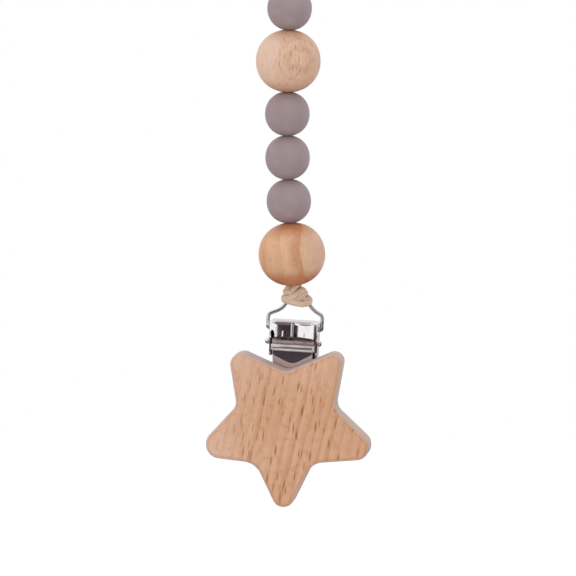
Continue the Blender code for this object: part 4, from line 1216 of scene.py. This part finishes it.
def make_bail():
    """The wire bail, from the end in one ear over the top to the end in the other."""
    half_width = BODY_WIDTH / 2 + SEAT_GAP + BAIL_WIRE / 2
    end = Vector((BODY_WIDTH / 2 - SHEET - BAIL_WIRE / 2, BAIL_HOLE_UP))
    corner = Vector((half_width, BAIL_HOLE_UP))
    bend = corner_arc(end, corner, Vector((half_width, BODY_TOP)), BAIL_BEND, 8)
    arm = [Vector((across * half_width, BAIL_HOLE_UP + up * BAIL_HEIGHT)) for across, up in bail_arm_shares]
    flat = [end, *bend[:-1], *smooth_route([bend[-1], *arm], 5)]
    route = []
    for spot in mirrored([Vector((across, 0, up)) for across, up in flat]):
        share = (spot.z - BAIL_HOLE_UP) / BAIL_HEIGHT
        raised = BAIL_SLOPE * spot.x * eased(share / BAIL_BENT_FROM)
        moved = BAIL_SHIFT * eased((share - BAIL_BENT_FROM) / BAIL_BENT_OVER)
        route.append(spot + Vector((moved, 0, raised)))
    put("wire_bail", wire("wire_bail", route, BAIL_WIRE), CHROME_WIRE_PAINTED_SHADE, "bail", "chrome", "bail",
        place=CLIP_PLACE, turn=CLIP_TURN)


make_bail()

# Knots

# Strands of the knot on the bail's bar, in mm from the bar's middle, the front towards -Y
clip_knot_strands = {
    "knot_down_left": ((-0.5, 0.3, 6.2), (-1.0, 0.1, 4.5), (-2.0, -0.5, 3.5), (-2.7, -0.7, 2.5),
        (-2.75, -0.5, 1.5), (-3.0, -0.2, 0.8), (-3.1, 0.4, 0.2)),
    "knot_down_middle": ((0.2, -0.1, 6.2), (0.2, -0.6, 4.4), (-0.4, -1.25, 3.4), (-0.9, -1.45, 2.5),
        (-0.6, -1.35, 1.5), (0.3, -1.2, 0.6), (1.0, -1.1, -0.2)),
    "knot_down_right": ((0.4, 0.5, 6.2), (0.5, 0.5, 4.6), (0.5, 0.45, 3.4), (0.4, 0.6, 2.4),
        (0.3, 1.0, 1.4)),
    "knot_falling": ((-2.2, 0.9, 2.15), (-3.0, 0.3, 2.25), (-2.8, -0.8, 2.25), (-1.8, -1.7, 2.0),
        (-0.6, -1.75, 1.35), (0.8, -1.5, 0.7), (2.2, -1.3, 0.35), (3.2, -0.8, 0.1)),
    "knot_rising": ((1.2, 1.0, 2.7), (1.9, 0.4, 2.8), (1.75, -0.7, 2.8), (1.1, -1.7, 2.35),
        (0.1, -2.25, 1.5), (-1.2, -2.3, 0.75), (-2.5, -1.8, 0.2), (-3.3, -0.8, -0.2), (-3.3, 0.4, -0.3),
        (-2.5, 1.2, 0.1)),
    "knot_rising_beside": ((1.9, 0.9, 2.1), (2.5, 0.2, 2.15), (2.3, -0.9, 1.9), (1.5, -1.85, 1.05),
        (0.5, -2.05, 0.2), (-0.6, -1.8, -0.35), (-1.6, -1.3, -0.6)),
    "knot_bight": ((-2.3, 1.1, 0.9), (-3.3, 0.5, 0.6), (-3.4, -0.6, 0.15), (-2.5, -1.75, -0.2),
        (-1.0, -2.5, -0.55), (0.8, -2.55, -0.85), (2.3, -2.1, -1.0), (3.5, -1.3, -0.75), (4.0, -0.5, -0.1),
        (3.6, -0.2, 0.65), (2.9, 0.2, 0.9), (2.0, 0.9, 0.6)),
    "knot_behind": ((-3.2, 0.2, -0.3), (-2.6, 1.2, 0.1), (-0.9, 1.5, 0.7), (1.0, 1.5, 0.5),
        (2.7, 1.25, 0.0), (3.5, 0.5, -0.4)),
    "knot_behind_above": ((2.4, 0.4, 2.2), (1.3, 1.4, 1.7), (-0.6, 1.6, 1.75), (-2.2, 1.2, 2.05),
        (-2.9, 0.3, 2.35)),
}


def knot_strand(name, spots, body, place, middle, nodes=(), turn=CLIP_TURN, flat=0.82):
    """One strand of a knot, pressed flat against what it goes round."""
    mesh, _ = braided(name, [Vector(spot) * MM for spot in spots], CORD_DIAMETER, flat, middle)
    put(name, mesh, CORD, body, "cord", *nodes, place=place, turn=turn)


def make_clip_knot():
    """The knot that holds the strand to the bail."""
    bar = IN_CLIP @ Vector((0, 0, BAIL_HOLE_UP + BAIL_HEIGHT))

    def from_bar(place):
        """What the strands go round: the bar, and above it the cord that comes down to it."""
        return Vector((place.x * 0.8, 0, max(0.0, place.z * 0.75)))

    for name, spots in clip_knot_strands.items():
        knot_strand(name, spots, "bail", bar, from_bar, ("clip_knot",) if name == "knot_bight" else ())


make_clip_knot()

LOOP_KNOT_PLACE = Vector((0, 0, -0.03765))
# How the leg runs through the knot, and how the winding goes round it, in mm and degrees
LOOP_KNOT_CORE = ((1.2, 0, 3.6), (1.15, 0, 2.6), (0.8, 0.1, 1.4), (0.3, 0.1, 0), (0.1, 0, -1.5),
                  (0, 0, -3.2))
WINDING_STEPS = 22
WINDING_START = 215
WINDING_STEP = 45
WINDING_RADIUS = 2.05
WINDING_TOP = 1.85
WINDING_DROP = 0.158
WINDING_TILT = 0.2


def make_loop_knot():
    """The knot under the end loop: one leg runs through, the other winds round it and tucks in."""
    wound = [(-1.2, 0, 3.6), (-1.25, -0.1, 2.9), (-1.1, -0.9, 2.25)]
    for step in range(WINDING_STEPS):
        turn = radians(WINDING_START + WINDING_STEP * step)
        wound.append((WINDING_RADIUS * cos(turn), WINDING_RADIUS * sin(turn),
                      WINDING_TOP - step * WINDING_DROP + WINDING_TILT * cos(turn)))
    wound += [(0.9, 1.1, -1.6), (0.2, 0.5, -1.5)]

    def from_core(place):
        return Vector((0, 0, place.z))

    for name, spots, nodes, flat in (("loop_knot_core", LOOP_KNOT_CORE, (), 0.9),
                                     ("loop_knot_winding", wound, ("loop_knot",), 0.8)):
        knot_strand(name, spots, "hanging_loop", LOOP_KNOT_PLACE, from_core, nodes, (0, 0, 0), flat)


make_loop_knot()

# What keeps its packed form

KEPT = {"inner_jaw": SPRING_STEEL, "front_pad": PAD_PLASTIC, "back_pad": PAD_PLASTIC,
        "star_screw_upper": SCREW_STEEL, "star_screw_lower": SCREW_STEEL}

for name, finish in KEPT.items():
    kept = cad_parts[name]
    kept.data.materials.clear()
    kept.data.materials.append(finish)
    if finish != SCREW_STEEL:
        round_edges(kept, 0.08 * MM, 30)
